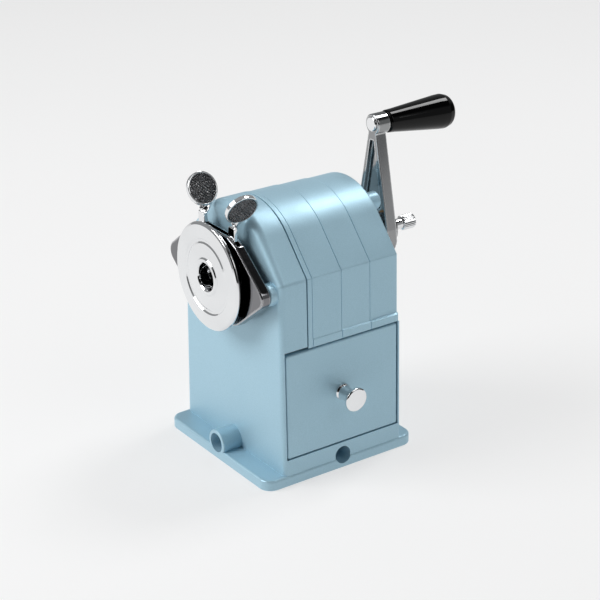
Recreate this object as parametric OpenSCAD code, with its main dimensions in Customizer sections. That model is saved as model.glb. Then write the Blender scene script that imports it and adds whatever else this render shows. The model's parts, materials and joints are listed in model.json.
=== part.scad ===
// Desk pencil sharpener with a hand crank, a spring-loaded feed chuck and a shavings drawer.
// Millimetres. The base stands on z = 0, the pencil enters from -Y and the drawer opens to +X.

/* [Body] */
// Width of the casting above the flange
body_w = 68; // [64:1:84]
// Depth of the casting from front face to rear face
body_d = 54; // [50:1:70]
// Height of the pencil axis above the table
axis_z = 76.5; // [76:0.5:92]
// Outer radius of the arched top
arch_r = 27; // [25:0.5:30]
// Angle at which the shoulders fall away from the arch
slant = 48; // [44:1:52]
// Draft of the side walls
draft = 1.2; // [0:0.1:2]
// Depth of the front head, as far as the seam with the hood
head_d = 11.8; // [10:0.2:16]
// Wall thickness of the castings
wall = 2.4; // [2:0.1:3.2]
// Rounding of the front arch edge
head_round = 3.6; // [1:0.2:4]

/* [Base] */
// Thickness of the base flange
flange_t = 4.2; // [3:0.1:6]
// How far the flange reaches in front of the body
flange_front = 8.4; // [7:0.2:14]
// How far the flange reaches behind the body
flange_rear = 7; // [5:0.5:14]
// How far the flange reaches past each side
flange_side = 0.5; // [0:0.1:3]
// Corner radius of the flange
flange_r = 5; // [3:0.5:8]
// Thickness of the base plate
plate_t = 1; // [0.8:0.1:1.4]
// Radius of the clamp socket in the front
socket_front_r = 3.9; // [3:0.1:4.2]
// Height of the front clamp socket above the table
socket_front_z = 6.6; // [6:0.1:7]
// Radius of the clamp socket in the side
socket_side_r = 3.5; // [3:0.1:3.8]
// Height of the side clamp socket above the table
socket_side_z = 5.2; // [5:0.1:5.6]
// Depth of each clamp socket
socket_deep = 17; // [12:1:19]

/* [Drawer] */
// Height of the lower edge of the drawer front
drawer_z0 = 10.4; // [10:0.2:11]
// Height of the upper edge of the drawer front
drawer_z1 = 53.4; // [48:0.2:54]
// Height of the tray walls above the bottom of the tray
tray_h = 29; // [20:1:31]
// Wall thickness of the tray
tray_wall = 1.3; // [1:0.1:2]
// Gap round the drawer front
drawer_gap = 0.35; // [0.25:0.05:0.6]
// Thickness of the drawer front
front_t = 2.6; // [2:0.1:3.4]
// Radius of the drawer knob
knob_r = 4.7; // [3.5:0.1:7]
// How far the drawer knob stands out
knob_out = 9.2; // [7:0.1:14]

/* [Hood] */
// How far each hood panel steps in from the one before
panel_step = 0.3; // [0.2:0.05:0.35]
// Height of the plain band along the hood's lower edge
hood_band = 3.2; // [2:0.1:5]
// Width of the plain lip behind the seam
hood_lip = 2.1; // [1.5:0.1:3]
// Wall thickness of the hood at its thinnest panel
hood_wall = 1.5; // [1.2:0.1:1.6]
// Distance of the rear lugs from the pencil axis
lug_out = 19.9; // [19:0.1:20.5]
// Radius of the rear lugs
lug_r = 3.5; // [3:0.1:4]
// Length of the rear lugs
lug_len = 6; // [4:0.5:7]

/* [Chuck] */
// Radius of the face disc
disc_r = 20.9; // [18:0.1:23]
// Thickness of the face disc
disc_t = 2; // [1.6:0.1:2.6]
// Distance of the disc's front face from the front of the body
disc_out = 11.3; // [11:0.1:14]
// Length of the collar between the disc and the wing body
collar_len = 2.1; // [1.8:0.1:3]
// Radius of the pencil hole
pencil_r = 5.2; // [4:0.1:5.4]
// Distance of each guide rod from the pencil axis
guide_x = 26.8; // [26.4:0.1:27]
// Radius of each guide rod
guide_r = 2; // [1.6:0.1:2.1]
// Thickness of the wing body
wing_t = 4.2; // [4:0.1:4.6]
// Radius of the gripping pads
pad_r = 6.4; // [5:0.1:7.5]
// Height of the pad centres above the pencil axis
pad_z = 29.1; // [28:0.1:33]
// Sideways distance of the pad centres from the pencil axis
pad_x = 13.2; // [12.5:0.1:16]
// How far the chuck pulls out
chuck_travel = 22; // [18:1:24]

/* [Gears] */
// Teeth on the fixed ring gear
ring_teeth = 32; // [32]
// Teeth on the cutter's pinion
pinion_teeth = 9; // [9]
// Gear module
gear_m = 1; // [1]
// Outer radius of the ring gear
ring_r = 22.4; // [21.5:0.1:22.4]
// Tilt of the cutter towards the pencil axis
cutter_tilt = 10; // [9:0.5:10.5]
// Outer radius of the cutter
cutter_r = 5.5; // [5:0.1:5.6]

/* [Crank] */
// Distance of the handle from the shaft
crank_len = 43.7; // [38:0.1:60]
// Thickness of the crank arm
arm_t = 5; // [4:0.1:6]
// Distance of the arm's front face from the rear of the body
arm_gap = 11.4; // [11:0.1:16]
// Radius of the arm's round lower end
arm_foot_r = 9.3; // [8:0.1:11]
// Radius of the handle's end of the arm
arm_head_r = 4.1; // [3.8:0.1:6]
// Length of the handle
handle_len = 31.5; // [25:0.5:50]
// Largest radius of the handle
handle_r = 6.8; // [6:0.1:10]
// Angle by which the handle droops from level
handle_droop = 2.5; // [0:0.5:4]
// Radius of the shaft
shaft_r = 4; // [3.8:0.1:4.2]
// Radius of the adjusting knob
adjust_r = 3; // [2.8:0.1:5]

/* [Fits] */
// Radial clearance of running fits
run = 0.06; // [0.03:0.01:0.1]

/* [Hidden] */
eps = 0.01;
blue = "#8fb0c2";
chrome = "#d8dadc";
steel = "#9a9da0";
front_y = -body_d / 2;
rear_y = body_d / 2;
seam_y = front_y + head_d;
hood_y0 = seam_y + 0.1;
half_w = body_w / 2;
lean = tan(draft);
norm_x = sin(slant);
norm_z = cos(slant);
bay_z0 = drawer_z0 + 0.6;
bay_y0 = front_y + 2.9;
bay_y1 = rear_y - 1.9;
panel_y0 = front_y + 1.7;
panel_y1 = rear_y - 1;
bay_x0 = -half_w + 3.2;
panel_x = half_w - lean * (drawer_z1 - flange_t) - front_t;
floor_under = bay_z0 - 2.2;
disc_y = front_y - disc_out;
wing_y0 = disc_y + disc_t + collar_len;
wing_y1 = wing_y0 + wing_t;
boss_y = wing_y1 + 0.1;
rod_y1 = seam_y + chuck_travel + 10.8;
hood_in = 3 * panel_step + hood_wall;
// Height of the crease for a shell set in by d
function crease_z(d) =
    (arch_r - d + norm_z * axis_z - norm_x * (half_w - d) - norm_x * lean * flange_t)
    / (norm_z - norm_x * lean);
function side_x(z, d) = half_w - d - lean * (z - flange_t);
clip_t = 1.2;
pad_back = 1.9;
sleeve_r = pencil_r + 0.5;
spring_wire = 0.3;
spring_r = guide_r + 0.25 + spring_wire;
arm_y = rear_y + arm_gap;
hub_r = 6.3;
hub_y1 = arm_y + 8.8;
handle_y = arm_y + 6.4;
gear_r = gear_m * ring_teeth / 2;
pinion_pr = gear_m * pinion_teeth / 2;
planet_r = gear_r - pinion_pr;
chamber_y = front_y + 3;
gear_w = 5.6;
pinion_y = chamber_y + 0.7 + gear_w / 2;
carrier_y0 = chamber_y + gear_w + 1.9;
carrier_t = 2;
carrier_y1 = 12.5;
rear_plate_t = 2.4;
carrier_r = 15.2;
// Distance of the tilted cutter axis from the pencil axis at y
function cutter_off(y) = planet_r - (y - pinion_y) * tan(cutter_tilt);
lever_pivot_x = 9.6;
lever_pivot_z = 13.4;
pin_r = 1.2;
adjust_neck_y = hub_y1 + 0.4;
rear_in_y = rear_y - 2.5;
lug_angles = [61, 119, 270];

// Cross-section of the body, set in by d and cut off below z0
module outline(d, z0) {
    zc = crease_z(d);
    r = arch_r - d;
    union() {
        intersection() {
            translate([0, axis_z])
                circle(r = r, $fn = 96);
            translate([-body_w, axis_z])
                square([2 * body_w, body_w]);
        }
        polygon([[-side_x(z0, d), z0], [side_x(z0, d), z0], [side_x(zc, d), zc],
            [r * norm_x, axis_z + r * norm_z], [-r * norm_x, axis_z + r * norm_z],
            [-side_x(zc, d), zc]]);
    }
}

// Extrudes a section drawn in x and z from y0 back to y1
module along_y(y0, y1) {
    translate([0, y1, 0])
        rotate([90, 0, 0])
            linear_extrude(y1 - y0)
                children();
}

// A rod along Y
module rod_y(x, z, r, y0, y1) {
    translate([x, y1, z])
        rotate([90, 0, 0])
            cylinder(r = r, h = y1 - y0, $fn = 64);
}

// A rod along X
module rod_x(y, z, r, x0, x1) {
    translate([x0, y, z])
        rotate([0, 90, 0])
            cylinder(r = r, h = x1 - x0, $fn = 64);
}

// A solid of revolution about the line along Y through x and z; profile is [radius, y] points
module turned_y(x, z, points) {
    translate([x, 0, z])
        rotate([-90, 0, 0])
            rotate_extrude($fn = 96)
                polygon(points);
}

module box(x0, x1, y0, y1, z0, z1) {
    translate([x0, y0, z0])
        cube([x1 - x0, y1 - y0, z1 - z0]);
}

module rounded_slab(x0, x1, y0, y1, r, z0, z1) {
    translate([0, 0, z0])
        linear_extrude(z1 - z0)
            union() {
                translate([x0 + r, y0])
                    square([x1 - x0 - 2 * r, y1 - y0]);
                translate([x0, y0 + r])
                    square([x1 - x0, y1 - y0 - 2 * r]);
                for (x = [x0 + r, x1 - r])
                    for (y = [y0 + r, y1 - r])
                        translate([x, y])
                            circle(r = r, $fn = 48);
            }
}

plate_x = half_w - 3;
plate_y0 = front_y - flange_front + 3.2;
plate_y1 = rear_y + flange_rear - 3.2;
screw_x = plate_x - 6;
screw_y = [bay_y0 + 4.6, bay_y1 - 5.6];

// Base, front head and lower walls, one casting
module body_casting() {
    color(blue)
    difference() {
        union() {
            rounded_slab(-half_w - flange_side, half_w + flange_side, front_y - flange_front,
                rear_y + flange_rear, flange_r, 0, flange_t);
            head_shell();
            intersection() {
                along_y(seam_y - eps, rear_y)
                    outline(0, flange_t - 0.5);
                box(-half_w, half_w, seam_y - 1, rear_y + 1, 0, drawer_z1);
            }
            rod_y(0, socket_front_z, socket_front_r + 1.35, front_y - flange_front, front_y + 1);
            for (s = [-1, 1])
                rod_y(s * guide_x, axis_z, guide_r + 2.25, boss_y, front_y + 1);
        }
        underside();
        drawer_bay();
        head_cavity();
        rod_y(0, socket_front_z, socket_front_r, front_y - flange_front - 1,
            front_y - flange_front + socket_deep);
        rod_x(0, socket_side_z, socket_side_r, half_w + flange_side - socket_deep, half_w + 2);
        rod_y(0, axis_z, sleeve_r + 0.7 + run, front_y - 1, chamber_y + 1);
        for (x = hood_screw_x)
            rod_y(x, hood_tab_z + 3.3, 1.25 + run, bay_y1 - 1, rear_y + 1);
        for (s = [-1, 1])
            rod_y(s * guide_x, axis_z, guide_r + run, boss_y - 1, seam_y + 1);
    }
}

// Front head, its arch edge rounded in fine steps
module head_shell() {
    steps = 6;
    for (i = [0 : steps - 1])
        along_y(front_y + head_round * (1 - sin(90 * (i + 0.5) / steps)), seam_y)
            outline(i == 0 ? 0 : head_round * (1 - cos(90 * (i + 0.5) / steps)), flange_t - 0.5);
}

// Space under the floor, the step for the base plate and the screw holes
module underside() {
    difference() {
        box(-half_w + 4, half_w - 4, bay_y0, bay_y1 - 1, -1, floor_under);
        box(-socket_front_r - 2.4, socket_front_r + 2.4, bay_y0 - 1,
            front_y - flange_front + socket_deep + 2, plate_t, floor_under + 1);
        box(half_w + flange_side - socket_deep - 2, half_w, -socket_side_r - 2.2,
            socket_side_r + 2.2, plate_t, floor_under + 1);
        for (x = [-screw_x, screw_x])
            for (y = screw_y)
                box(x - 3.4, x + 3.4, y - 3.4, y + 3.4, plate_t, floor_under + 1);
    }
    rounded_slab(-plate_x, plate_x, plate_y0, plate_y1, 3, -1, plate_t);
    for (x = [-screw_x, screw_x])
        for (y = screw_y)
            translate([x, y, -1])
                cylinder(r = 1.5 + run, h = 7.5 + 1, $fn = 32);
}

// Bay for the drawer with the step that its front closes against
module drawer_bay() {
    box(bay_x0, half_w + 5, bay_y0, bay_y1, bay_z0, drawer_z1 + eps);
    box(panel_x - 0.1, half_w + 5, panel_y0 - drawer_gap, panel_y1 + drawer_gap,
        drawer_z0, drawer_z1 + eps);
}

// Room behind the front wall, round the bosses of the ring gear and the guide rods
module head_cavity() {
    along_y(chamber_y, seam_y + 1)
        difference() {
            outline(wall + 0.4, drawer_z1 - 1);
            translate([0, axis_z])
                circle(r = ring_r + 1.6, $fn = 96);
            for (s = [-1, 1])
                translate([s * guide_x, axis_z])
                    circle(r = guide_r + 2.25, $fn = 48);
        }
    rod_y(0, axis_z, ring_r + 0.03, chamber_y, seam_y + 1);
}

module base_plate() {
    color("#2c2d2f")
    difference() {
        rounded_slab(-plate_x + 0.1, plate_x - 0.1, plate_y0 + 0.1, plate_y1 - 0.1, 3, 0,
            plate_t - 0.02);
        for (x = [-screw_x, screw_x])
            for (y = screw_y)
                translate([x, y, -1])
                    cylinder(r = 1.5 + run, h = 4, $fn = 32);
    }
}

// A round-head screw pointing up, its head sunk to z = 0
module base_screws() {
    color(steel)
    for (x = [-screw_x, screw_x])
        for (y = screw_y)
            translate([x, y, 0])
                cylinder(r = 1.5, h = 7, $fn = 32);
}

// Hood: four panels, each set in from the one before, over a plain lower band
module hood() {
    band_z = drawer_z1 + hood_band;
    panel_d = (rear_y - hood_y0 - hood_lip) / 3;
    color(blue)
    difference() {
        union() {
            along_y(hood_y0, rear_y)
                outline(0, drawer_z1 + 0.1);
            for (a = lug_angles)
                rod_y(lug_out * cos(a), axis_z + lug_out * sin(a), lug_r, rear_y - 1,
                    rear_y + lug_len);
            rod_y(0, axis_z, shaft_r + 4, rear_y - 1, rear_y + 2.2);
        }
        for (i = [1 : 3])
            along_y(hood_y0 + hood_lip + (i - 1) * panel_d, rear_y + (i == 3 ? 0.6 : 0))
                difference() {
                    translate([-half_w - 5, band_z])
                        square([body_w + 10, axis_z + arch_r]);
                    outline(i * panel_step, band_z - 5);
                }
        along_y(hood_y0 - 1, rear_in_y)
            outline(hood_in, drawer_z1 - 5);
        rod_y(0, axis_z, bush_r + 0.02, rear_in_y - 1, rear_y + 5);
        for (a = lug_angles)
            rod_y(lug_out * cos(a), axis_z + lug_out * sin(a), 1.25, rear_in_y - 1,
                rear_y + lug_len - 1.6);
    }
    hood_tab();
}

bush_r = shaft_r + 1.8;
tab_y0 = bay_y1 - 2.6;
hood_tab_z = drawer_z1 - 7;
hood_screw_x = [-20, 20];

// Tab inside the rear wall that the hood is screwed through
module hood_tab() {
    color(blue)
    difference() {
        box(-27, 27, tab_y0, bay_y1 - 0.1, hood_tab_z, drawer_z1 + 2.5);
        rod_y(0, axis_z, 22.6, tab_y0 - 1, rear_in_y);
        rod_y(0, axis_z - lug_out, 1.25 + run, tab_y0 - 1, bay_y1 + 1);
        for (x = hood_screw_x)
            rod_y(x, hood_tab_z + 3.3, 1.25, tab_y0 - 1, bay_y1 + 1);
    }
}

module hood_screws() {
    color(steel)
    for (x = hood_screw_x) {
        rod_y(x, hood_tab_z + 3.3, 1.25, bay_y1 - 2, rear_y + 0.2);
        difference() {
            rod_y(x, hood_tab_z + 3.3, 2.6, rear_y, rear_y + 1.5);
            box(x - 3, x + 3, rear_y + 0.9, rear_y + 2, hood_tab_z + 2.95, hood_tab_z + 3.65);
        }
    }
}

// One tooth of a spur gear, root inside, centred on the +x axis
module tooth(r0, r1, w0, w1) {
    polygon([[r0 - 0.3, -w0 / 2], [r1, -w1 / 2], [r1, w1 / 2], [r0 - 0.3, w0 / 2]]);
}

module ring_gear() {
    color(steel)
    translate([0, pinion_y + gear_w / 2, axis_z])
        rotate([90, 0, 0])
            linear_extrude(gear_w)
                difference() {
                    circle(r = ring_r, $fn = 128);
                    difference() {
                        circle(r = gear_r + 1.35, $fn = 96);
                        for (i = [0 : ring_teeth - 1])
                            rotate(90 + 360 / ring_teeth * (i + 0.5))
                                translate([2 * gear_r + 0.75, 0])
                                    mirror([1, 0])
                                        tooth(gear_r - 0.75, gear_r + 1.35, 1.5, 0.6);
                    }
                }
}

module bearing_flange() {
    color(steel)
    difference() {
        turned_y(0, axis_z, [[bush_r + 0.02, rear_in_y - 2.2], [22.2, rear_in_y - 2.2],
            [22.2, rear_in_y - 0.05], [bush_r + 0.02, rear_in_y - 0.05]]);
        for (a = lug_angles)
            rod_y(lug_out * cos(a), axis_z + lug_out * sin(a), 1.25 + run, rear_in_y - 4,
                rear_in_y + 1);
    }
}

module bearing_screws() {
    color(steel)
    for (a = lug_angles) {
        x = lug_out * cos(a);
        z = axis_z + lug_out * sin(a);
        rod_y(x, z, 1.25, rear_in_y - 2.3, rear_y + lug_len - 2.6);
        rod_y(x, z, 2.2, rear_in_y - 3.6, rear_in_y - 2.25);
    }
}

module bearing_bush() {
    color("#b08d57")
    turned_y(0, axis_z, [[shaft_r + run, rear_in_y - 3.2], [bush_r, rear_in_y - 3.2],
        [bush_r, rear_y + 3], [bush_r + 1.1, rear_y + 3], [bush_r + 1.1, rear_y + 4],
        [shaft_r + run, rear_y + 4]]);
}

tray_x0 = bay_x0 + 0.8;
tray_y0 = bay_y0 + 0.35;
tray_y1 = bay_y1 - 0.35;
tray_z0 = bay_z0 + 0.1;
knob_z = (drawer_z0 + drawer_z1) / 2;

module drawer_tray() {
    color(steel)
    difference() {
        box(tray_x0, panel_x, tray_y0, tray_y1, tray_z0, tray_z0 + tray_h);
        box(tray_x0 + tray_wall, panel_x - tray_wall, tray_y0 + tray_wall, tray_y1 - tray_wall,
            tray_z0 + tray_wall, tray_z0 + tray_h + 1);
        for (y = [-rivet_y, rivet_y])
            rod_x(y, rivet_z, 1.2, panel_x - 5, panel_x + 1);
    }
}

rivet_y = body_d / 4;
rivet_z = tray_z0 + 12;

module drawer_front() {
    z0 = drawer_z0 + drawer_gap;
    z1 = drawer_z1 - drawer_gap;
    color(blue)
    difference() {
        along_y(panel_y0, panel_y1)
            polygon([[panel_x + 0.02, z0], [side_x(z0, 0), z0], [side_x(z1, 0), z1],
                [panel_x + 0.02, z1]]);
        rod_x(0, knob_z, 1.5, panel_x - 1, half_w + 1);
        for (y = [-rivet_y, rivet_y])
            rod_x(y, rivet_z, 1.2, panel_x - 1, panel_x + 1.4);
    }
}

// Mushroom knob with its screwed stem
module drawer_knob() {
    x0 = side_x(knob_z, 0);
    color(chrome)
    translate([0, 0, knob_z])
        rotate([0, 90, 0])
            rotate_extrude($fn = 64)
                polygon([[0, panel_x + 0.3], [1.45, panel_x + 0.3], [1.45, x0 + 0.02],
                    [3.1, x0 + 0.02], [3.1, x0 + 0.6], [2.9, x0 + 1], [2.7, x0 + knob_out - 3.2],
                    [knob_r - 0.5, x0 + knob_out - 1.9], [knob_r, x0 + knob_out - 1.5],
                    [knob_r, x0 + knob_out - 0.5], [knob_r - 0.4, x0 + knob_out],
                    [0, x0 + knob_out]]);
}

module drawer_rivets() {
    color(steel)
    for (y = [-rivet_y, rivet_y]) {
        rod_x(y, rivet_z, 1.15, panel_x - tray_wall - 0.1, panel_x + 1.3);
        rod_x(y, rivet_z, 2, panel_x - tray_wall - 0.8, panel_x - tray_wall - 0.02);
    }
}

// Face disc with a turned groove and a raised ring round the pencil hole
module chuck_disc() {
    y = disc_y;
    color(chrome)
    difference() {
        turned_y(0, axis_z, [[pencil_r, y + 0.5], [pencil_r + 0.5, y], [7.2, y], [7.3, y + 0.5],
            [13.2, y + 0.5], [13.5, y + 0.9], [14.3, y + 0.9], [14.6, y + 0.4],
            [disc_r - 0.8, y + 0.4], [disc_r - 0.2, y + 0.7], [disc_r, y + 1.1],
            [disc_r, y + disc_t], [9, y + disc_t], [9, wing_y0 - 0.02], [pencil_r, wing_y0 - 0.02]]);
    }
}

// Wing body: a flat lozenge with round ends that ride on the guide rods
module wing_outline() {
    polygon(concat(
        [for (a = [-60 : 6 : 60]) [guide_x + 4.45 * cos(a), 4.45 * sin(a)]],
        [[14.4, 15.2], [9, 17.8], [-9, 17.8], [-14.4, 15.2]],
        [for (a = [120 : 6 : 240]) [-guide_x + 4.45 * cos(a), 4.45 * sin(a)]],
        [[-14.4, -15.2], [-6, -19], [6, -19], [14.4, -15.2]]));
}

module chuck_body() {
    color(chrome)
    difference() {
        translate([0, 0, axis_z])
            along_y(wing_y0, wing_y1)
                wing_outline();
        translate([0, 0, axis_z])
            along_y(wing_y0 + 1.2, wing_y1 - 1.2)
                lever_slot();
        rod_y(0, axis_z, pencil_r, wing_y0 - 1, wing_y0 + 2);
        rod_y(0, axis_z, sleeve_r + 0.72, wing_y1 - 2, wing_y1 + 1);
        for (s = [-1, 1]) {
            rod_y(s * guide_x, axis_z, guide_r + 0.02, wing_y0 + 1, wing_y1 + 1);
            rod_y(s * lever_pivot_x, axis_z + lever_pivot_z, pin_r + 0.02, wing_y0 - 1,
                wing_y1 + 1);
        }
    }
}

// Pocket in the wing body that the levers and their spring work in
module lever_slot() {
    polygon([[-9.5, -16.4], [9.5, -16.4], [14.2, -12.8], [14.2, 25], [-14.2, 25],
        [-14.2, -12.8]]);
}

module chuck_sleeve() {
    color(chrome)
    turned_y(0, axis_z, [[sleeve_r, wing_y1 - 1.15], [sleeve_r + 0.7, wing_y1 - 1.15],
        [sleeve_r + 0.7, chamber_y - 0.4], [sleeve_r, chamber_y - 0.4]]);
}

module guide_rods() {
    color(steel)
    for (s = [-1, 1])
        difference() {
            rod_y(s * guide_x, axis_z, guide_r, wing_y0 + 1.1, rod_y1);
            turned_y(s * guide_x, axis_z, [[guide_r - 0.5, rod_y1 - 3], [guide_r + 1, rod_y1 - 3],
                [guide_r + 1, rod_y1 - 3 + clip_t], [guide_r - 0.5, rod_y1 - 3 + clip_t]]);
        }
}

module rod_clips() {
    color(steel)
    for (s = [-1, 1])
        turned_y(s * guide_x, axis_z, [[guide_r - 0.45, rod_y1 - 3 + 0.05],
            [guide_r + 0.9, rod_y1 - 3 + 0.05], [guide_r + 0.9, rod_y1 - 3 + clip_t - 0.05],
            [guide_r - 0.45, rod_y1 - 3 + clip_t - 0.05]]);
}

// Points of a coil of radius r and length len, drawn with a round wire
function ring_at(t, r, len, turns, w, sides) = [for (k = [0 : sides - 1])
    let (a = 360 * turns * t, b = 360 * k / sides, q = r + w * cos(b))
    [q * cos(a), len * t + w * sin(b), q * sin(a)]];

module coil(r, len, turns, w) {
    sides = 6;
    n = turns * 18;
    pts = [for (i = [0 : n]) each ring_at(i / n, r, len, turns, w, sides)];
    body = [for (i = [0 : n - 1]) for (k = [0 : sides - 1])
        [i * sides + k, i * sides + (k + 1) % sides, (i + 1) * sides + (k + 1) % sides,
            (i + 1) * sides + k]];
    cap0 = [[for (k = [0 : sides - 1]) sides - 1 - k]];
    cap1 = [[for (k = [0 : sides - 1]) n * sides + k]];
    polyhedron(points = pts, faces = concat(body, cap0, cap1), convexity = 8);
}

spring_y0 = seam_y + 0.25;
spring_y1 = rod_y1 - 3 - 0.35;

module rod_spring(s) {
    color(steel)
    translate([s * guide_x, spring_y0 + spring_wire, axis_z])
        coil(spring_r, spring_y1 - spring_y0 - 2 * spring_wire, 11, spring_wire);
}

module rod_spring_left() {
    rod_spring(-1);
}

module rod_spring_right() {
    rod_spring(1);
}

module lever_pins() {
    color(steel)
    for (s = [-1, 1])
        rod_y(s * lever_pivot_x, axis_z + lever_pivot_z, pin_r, wing_y0 + 0.05, wing_y1 - 0.05);
}

lever_y0 = wing_y0 + 1.2 + 0.15;
lever_y1 = wing_y1 - 1.2 - 0.15;
lever_mid_y = (lever_y0 + lever_y1) / 2;
jaw_x = 3.2;
pad_t = 1.8;
pad_turn = -3;
pad_lean = 26;

// One lever, pinned above the pencil: a jaw below the pin, a neck and a round pad above it
module lever(s) {
    neck_z = 21.6;
    neck_x = lever_pivot_x + 0.6;
    difference() {
        union() {
            translate([0, 0, axis_z])
                along_y(lever_y0, lever_y1)
                    polygon([[s * (neck_x - 2), neck_z], [s * (lever_pivot_x - 2.4), lever_pivot_z],
                        [s * (lever_pivot_x - 2.2), 8], [s * jaw_x, 2.4], [s * jaw_x, -2.4],
                        [s * (jaw_x + 1.4), -3.4], [s * (lever_pivot_x + 1), 3],
                        [s * (lever_pivot_x + 2.4), lever_pivot_z], [s * (neck_x + 2), neck_z]]);
            rod_y(s * lever_pivot_x, axis_z + lever_pivot_z, 2.4, lever_y0, lever_y1);
            translate([s * neck_x, lever_mid_y, axis_z + neck_z - 1])
                rotate([-16, 0, 0])
                    rotate([0, s * pad_lean, 0])
                        cylinder(r = 1.7, h = 4.6, $fn = 32);
            translate([s * pad_x, lever_mid_y + pad_back, axis_z + pad_z])
                rotate([0, 0, s * pad_turn])
                    rotate([0, s * (90 + pad_lean), 0])
                        translate([0, 0, -pad_t / 2])
                            cylinder(r = pad_r, h = pad_t, $fn = 96);
        }
        rod_y(s * lever_pivot_x, axis_z + lever_pivot_z, pin_r + run, lever_y0 - 1, lever_y1 + 1);
    }
}

module lever_left() {
    color(chrome)
        lever(-1);
}

module lever_right() {
    color(chrome)
        lever(1);
}

// Bent strip held between the plates of the wing body, which spreads the two levers
module lever_spring() {
    r = 6.3;
    color(steel)
    translate([0, 0, axis_z + 7.4])
        along_y(wing_y0 + 1.21, wing_y1 - 1.21)
            difference() {
                circle(r = r, $fn = 64);
                circle(r = r - 0.5, $fn = 64);
                translate([-10, -10])
                    square([20, 11.5]);
            }
}

// Front ring and rear plate that carry the cutter round the pencil
module carrier() {
    color(steel)
    difference() {
        union() {
            turned_y(0, axis_z, [[pencil_r + 0.6, carrier_y0], [carrier_r, carrier_y0],
                [carrier_r, carrier_y0 + carrier_t], [pencil_r + 0.6, carrier_y0 + carrier_t]]);
            turned_y(0, axis_z, [[adjust_bore, carrier_y1], [13.4, carrier_y1],
                [13.4, carrier_y1 + rear_plate_t], [adjust_bore, carrier_y1 + rear_plate_t]]);
        }
        cutter_line()
            cylinder(r = axle_r + run, h = 90, center = true, $fn = 48);
        for (a = strut_angles)
            rod_y(strut_out * cos(a), axis_z + strut_out * sin(a), 1.8 + 0.02, carrier_y0 - 1,
                carrier_y1 + rear_plate_t + 1);
    }
}

axle_r = 1.4;
adjust_bore = 2.3;
strut_out = 11.2;
strut_angles = [205, 335];

// Moves the axis of its children, drawn along z, onto the tilted cutter axis
module cutter_line() {
    translate([0, pinion_y, axis_z + planet_r])
        rotate([cutter_tilt - 90 - 2 * cutter_tilt, 0, 0])
            children();
}

module carrier_struts() {
    color(steel)
    for (a = strut_angles)
        rod_y(strut_out * cos(a), axis_z + strut_out * sin(a), 1.8, carrier_y0,
            carrier_y1 + rear_plate_t);
}

module shaft() {
    color(steel)
    turned_y(0, axis_z, [[adjust_bore, carrier_y1 + rear_plate_t + 0.02],
        [shaft_r, carrier_y1 + rear_plate_t + 0.02], [shaft_r, hub_y1 - 0.3],
        [adjust_bore, hub_y1 - 0.3]]);
}

// Half width of the arm at height h above the shaft
function arm_half(h) = arm_foot_r + 0.3 - 0.178 * h;

module arm_outline(d) {
    top = crank_len - 3;
    circle(r = arm_foot_r - d, $fn = 64);
    translate([0, crank_len])
        circle(r = arm_head_r - d, $fn = 48);
    polygon([[-arm_half(3) + d, 3], [-arm_half(top) + d, top], [arm_half(top) - d, top],
        [arm_half(3) - d, 3]]);
}

module crank_arm() {
    color(chrome)
    difference() {
        union() {
            translate([0, 0, axis_z])
                along_y(arm_y, arm_y + arm_t)
                    arm_outline(0);
            rod_y(0, axis_z, hub_r, rear_y + 4.4, hub_y1);
            rod_y(0, axis_z + crank_len, arm_head_r, arm_y, handle_y - 0.4);
        }
        translate([0, 0, axis_z])
            along_y(arm_y - 1, arm_y + 1.6)
                intersection() {
                    arm_outline(1.5);
                    translate([-20, 10.5])
                        square([40, crank_len - 16]);
                }
        rod_y(0, axis_z, shaft_r + 0.02, rear_y, hub_y1 + 1);
        at_eye()
            rod_y(0, axis_z + crank_len, axle_pin_r + 0.02, arm_y - 1, handle_y + 1);
        at_eye()
            rod_y(0, axis_z + crank_len, 3, arm_y - 2, arm_y - 0.01);
        translate([0, rear_y + 7.8, axis_z])
            cylinder(r = 1.32, h = 20, $fn = 32);
    }
}

axle_pin_r = 2.2;

// Set screw through the crank's hub into the shaft
module crank_pin() {
    color(steel)
    translate([0, rear_y + 7.8, axis_z + shaft_r + 0.05])
        cylinder(r = 1.3, h = hub_r - shaft_r + 0.4, $fn = 32);
}

// Tilts its children about the arm's eye by the handle's droop
module at_eye() {
    translate([0, handle_y, axis_z + crank_len])
        rotate([-handle_droop, 0, 0])
            translate([0, -handle_y, -axis_z - crank_len])
                children();
}

module crank_axle() {
    color(chrome)
    at_eye()
    turned_y(0, axis_z + crank_len, [[0, arm_y - 0.7], [2.6, arm_y - 0.7], [2.9, arm_y - 0.4],
        [2.9, arm_y - 0.02], [axle_pin_r, arm_y - 0.02], [axle_pin_r, handle_y + handle_len - 8],
        [0, handle_y + handle_len - 8]]);
}

// Tapered handle with a round end, free to spin on its axle
module handle() {
    y0 = handle_y;
    y1 = handle_y + handle_len;
    end_r = handle_r;
    round_r = 4;
    color("#101012")
    at_eye()
    turned_y(0, axis_z + crank_len, concat(
        [[axle_pin_r + run, y0], [4, y0], [4.4, y0 + 0.4], [end_r - 0.1, y1 - 6.5]],
        [for (a = [0 : 15 : 90]) [end_r - round_r + round_r * cos(a),
            y1 - 1 - round_r + round_r * sin(a)]],
        [[0, y1], [0, y1 - 7.6], [axle_pin_r + run, y1 - 7.6]]));
}

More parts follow.
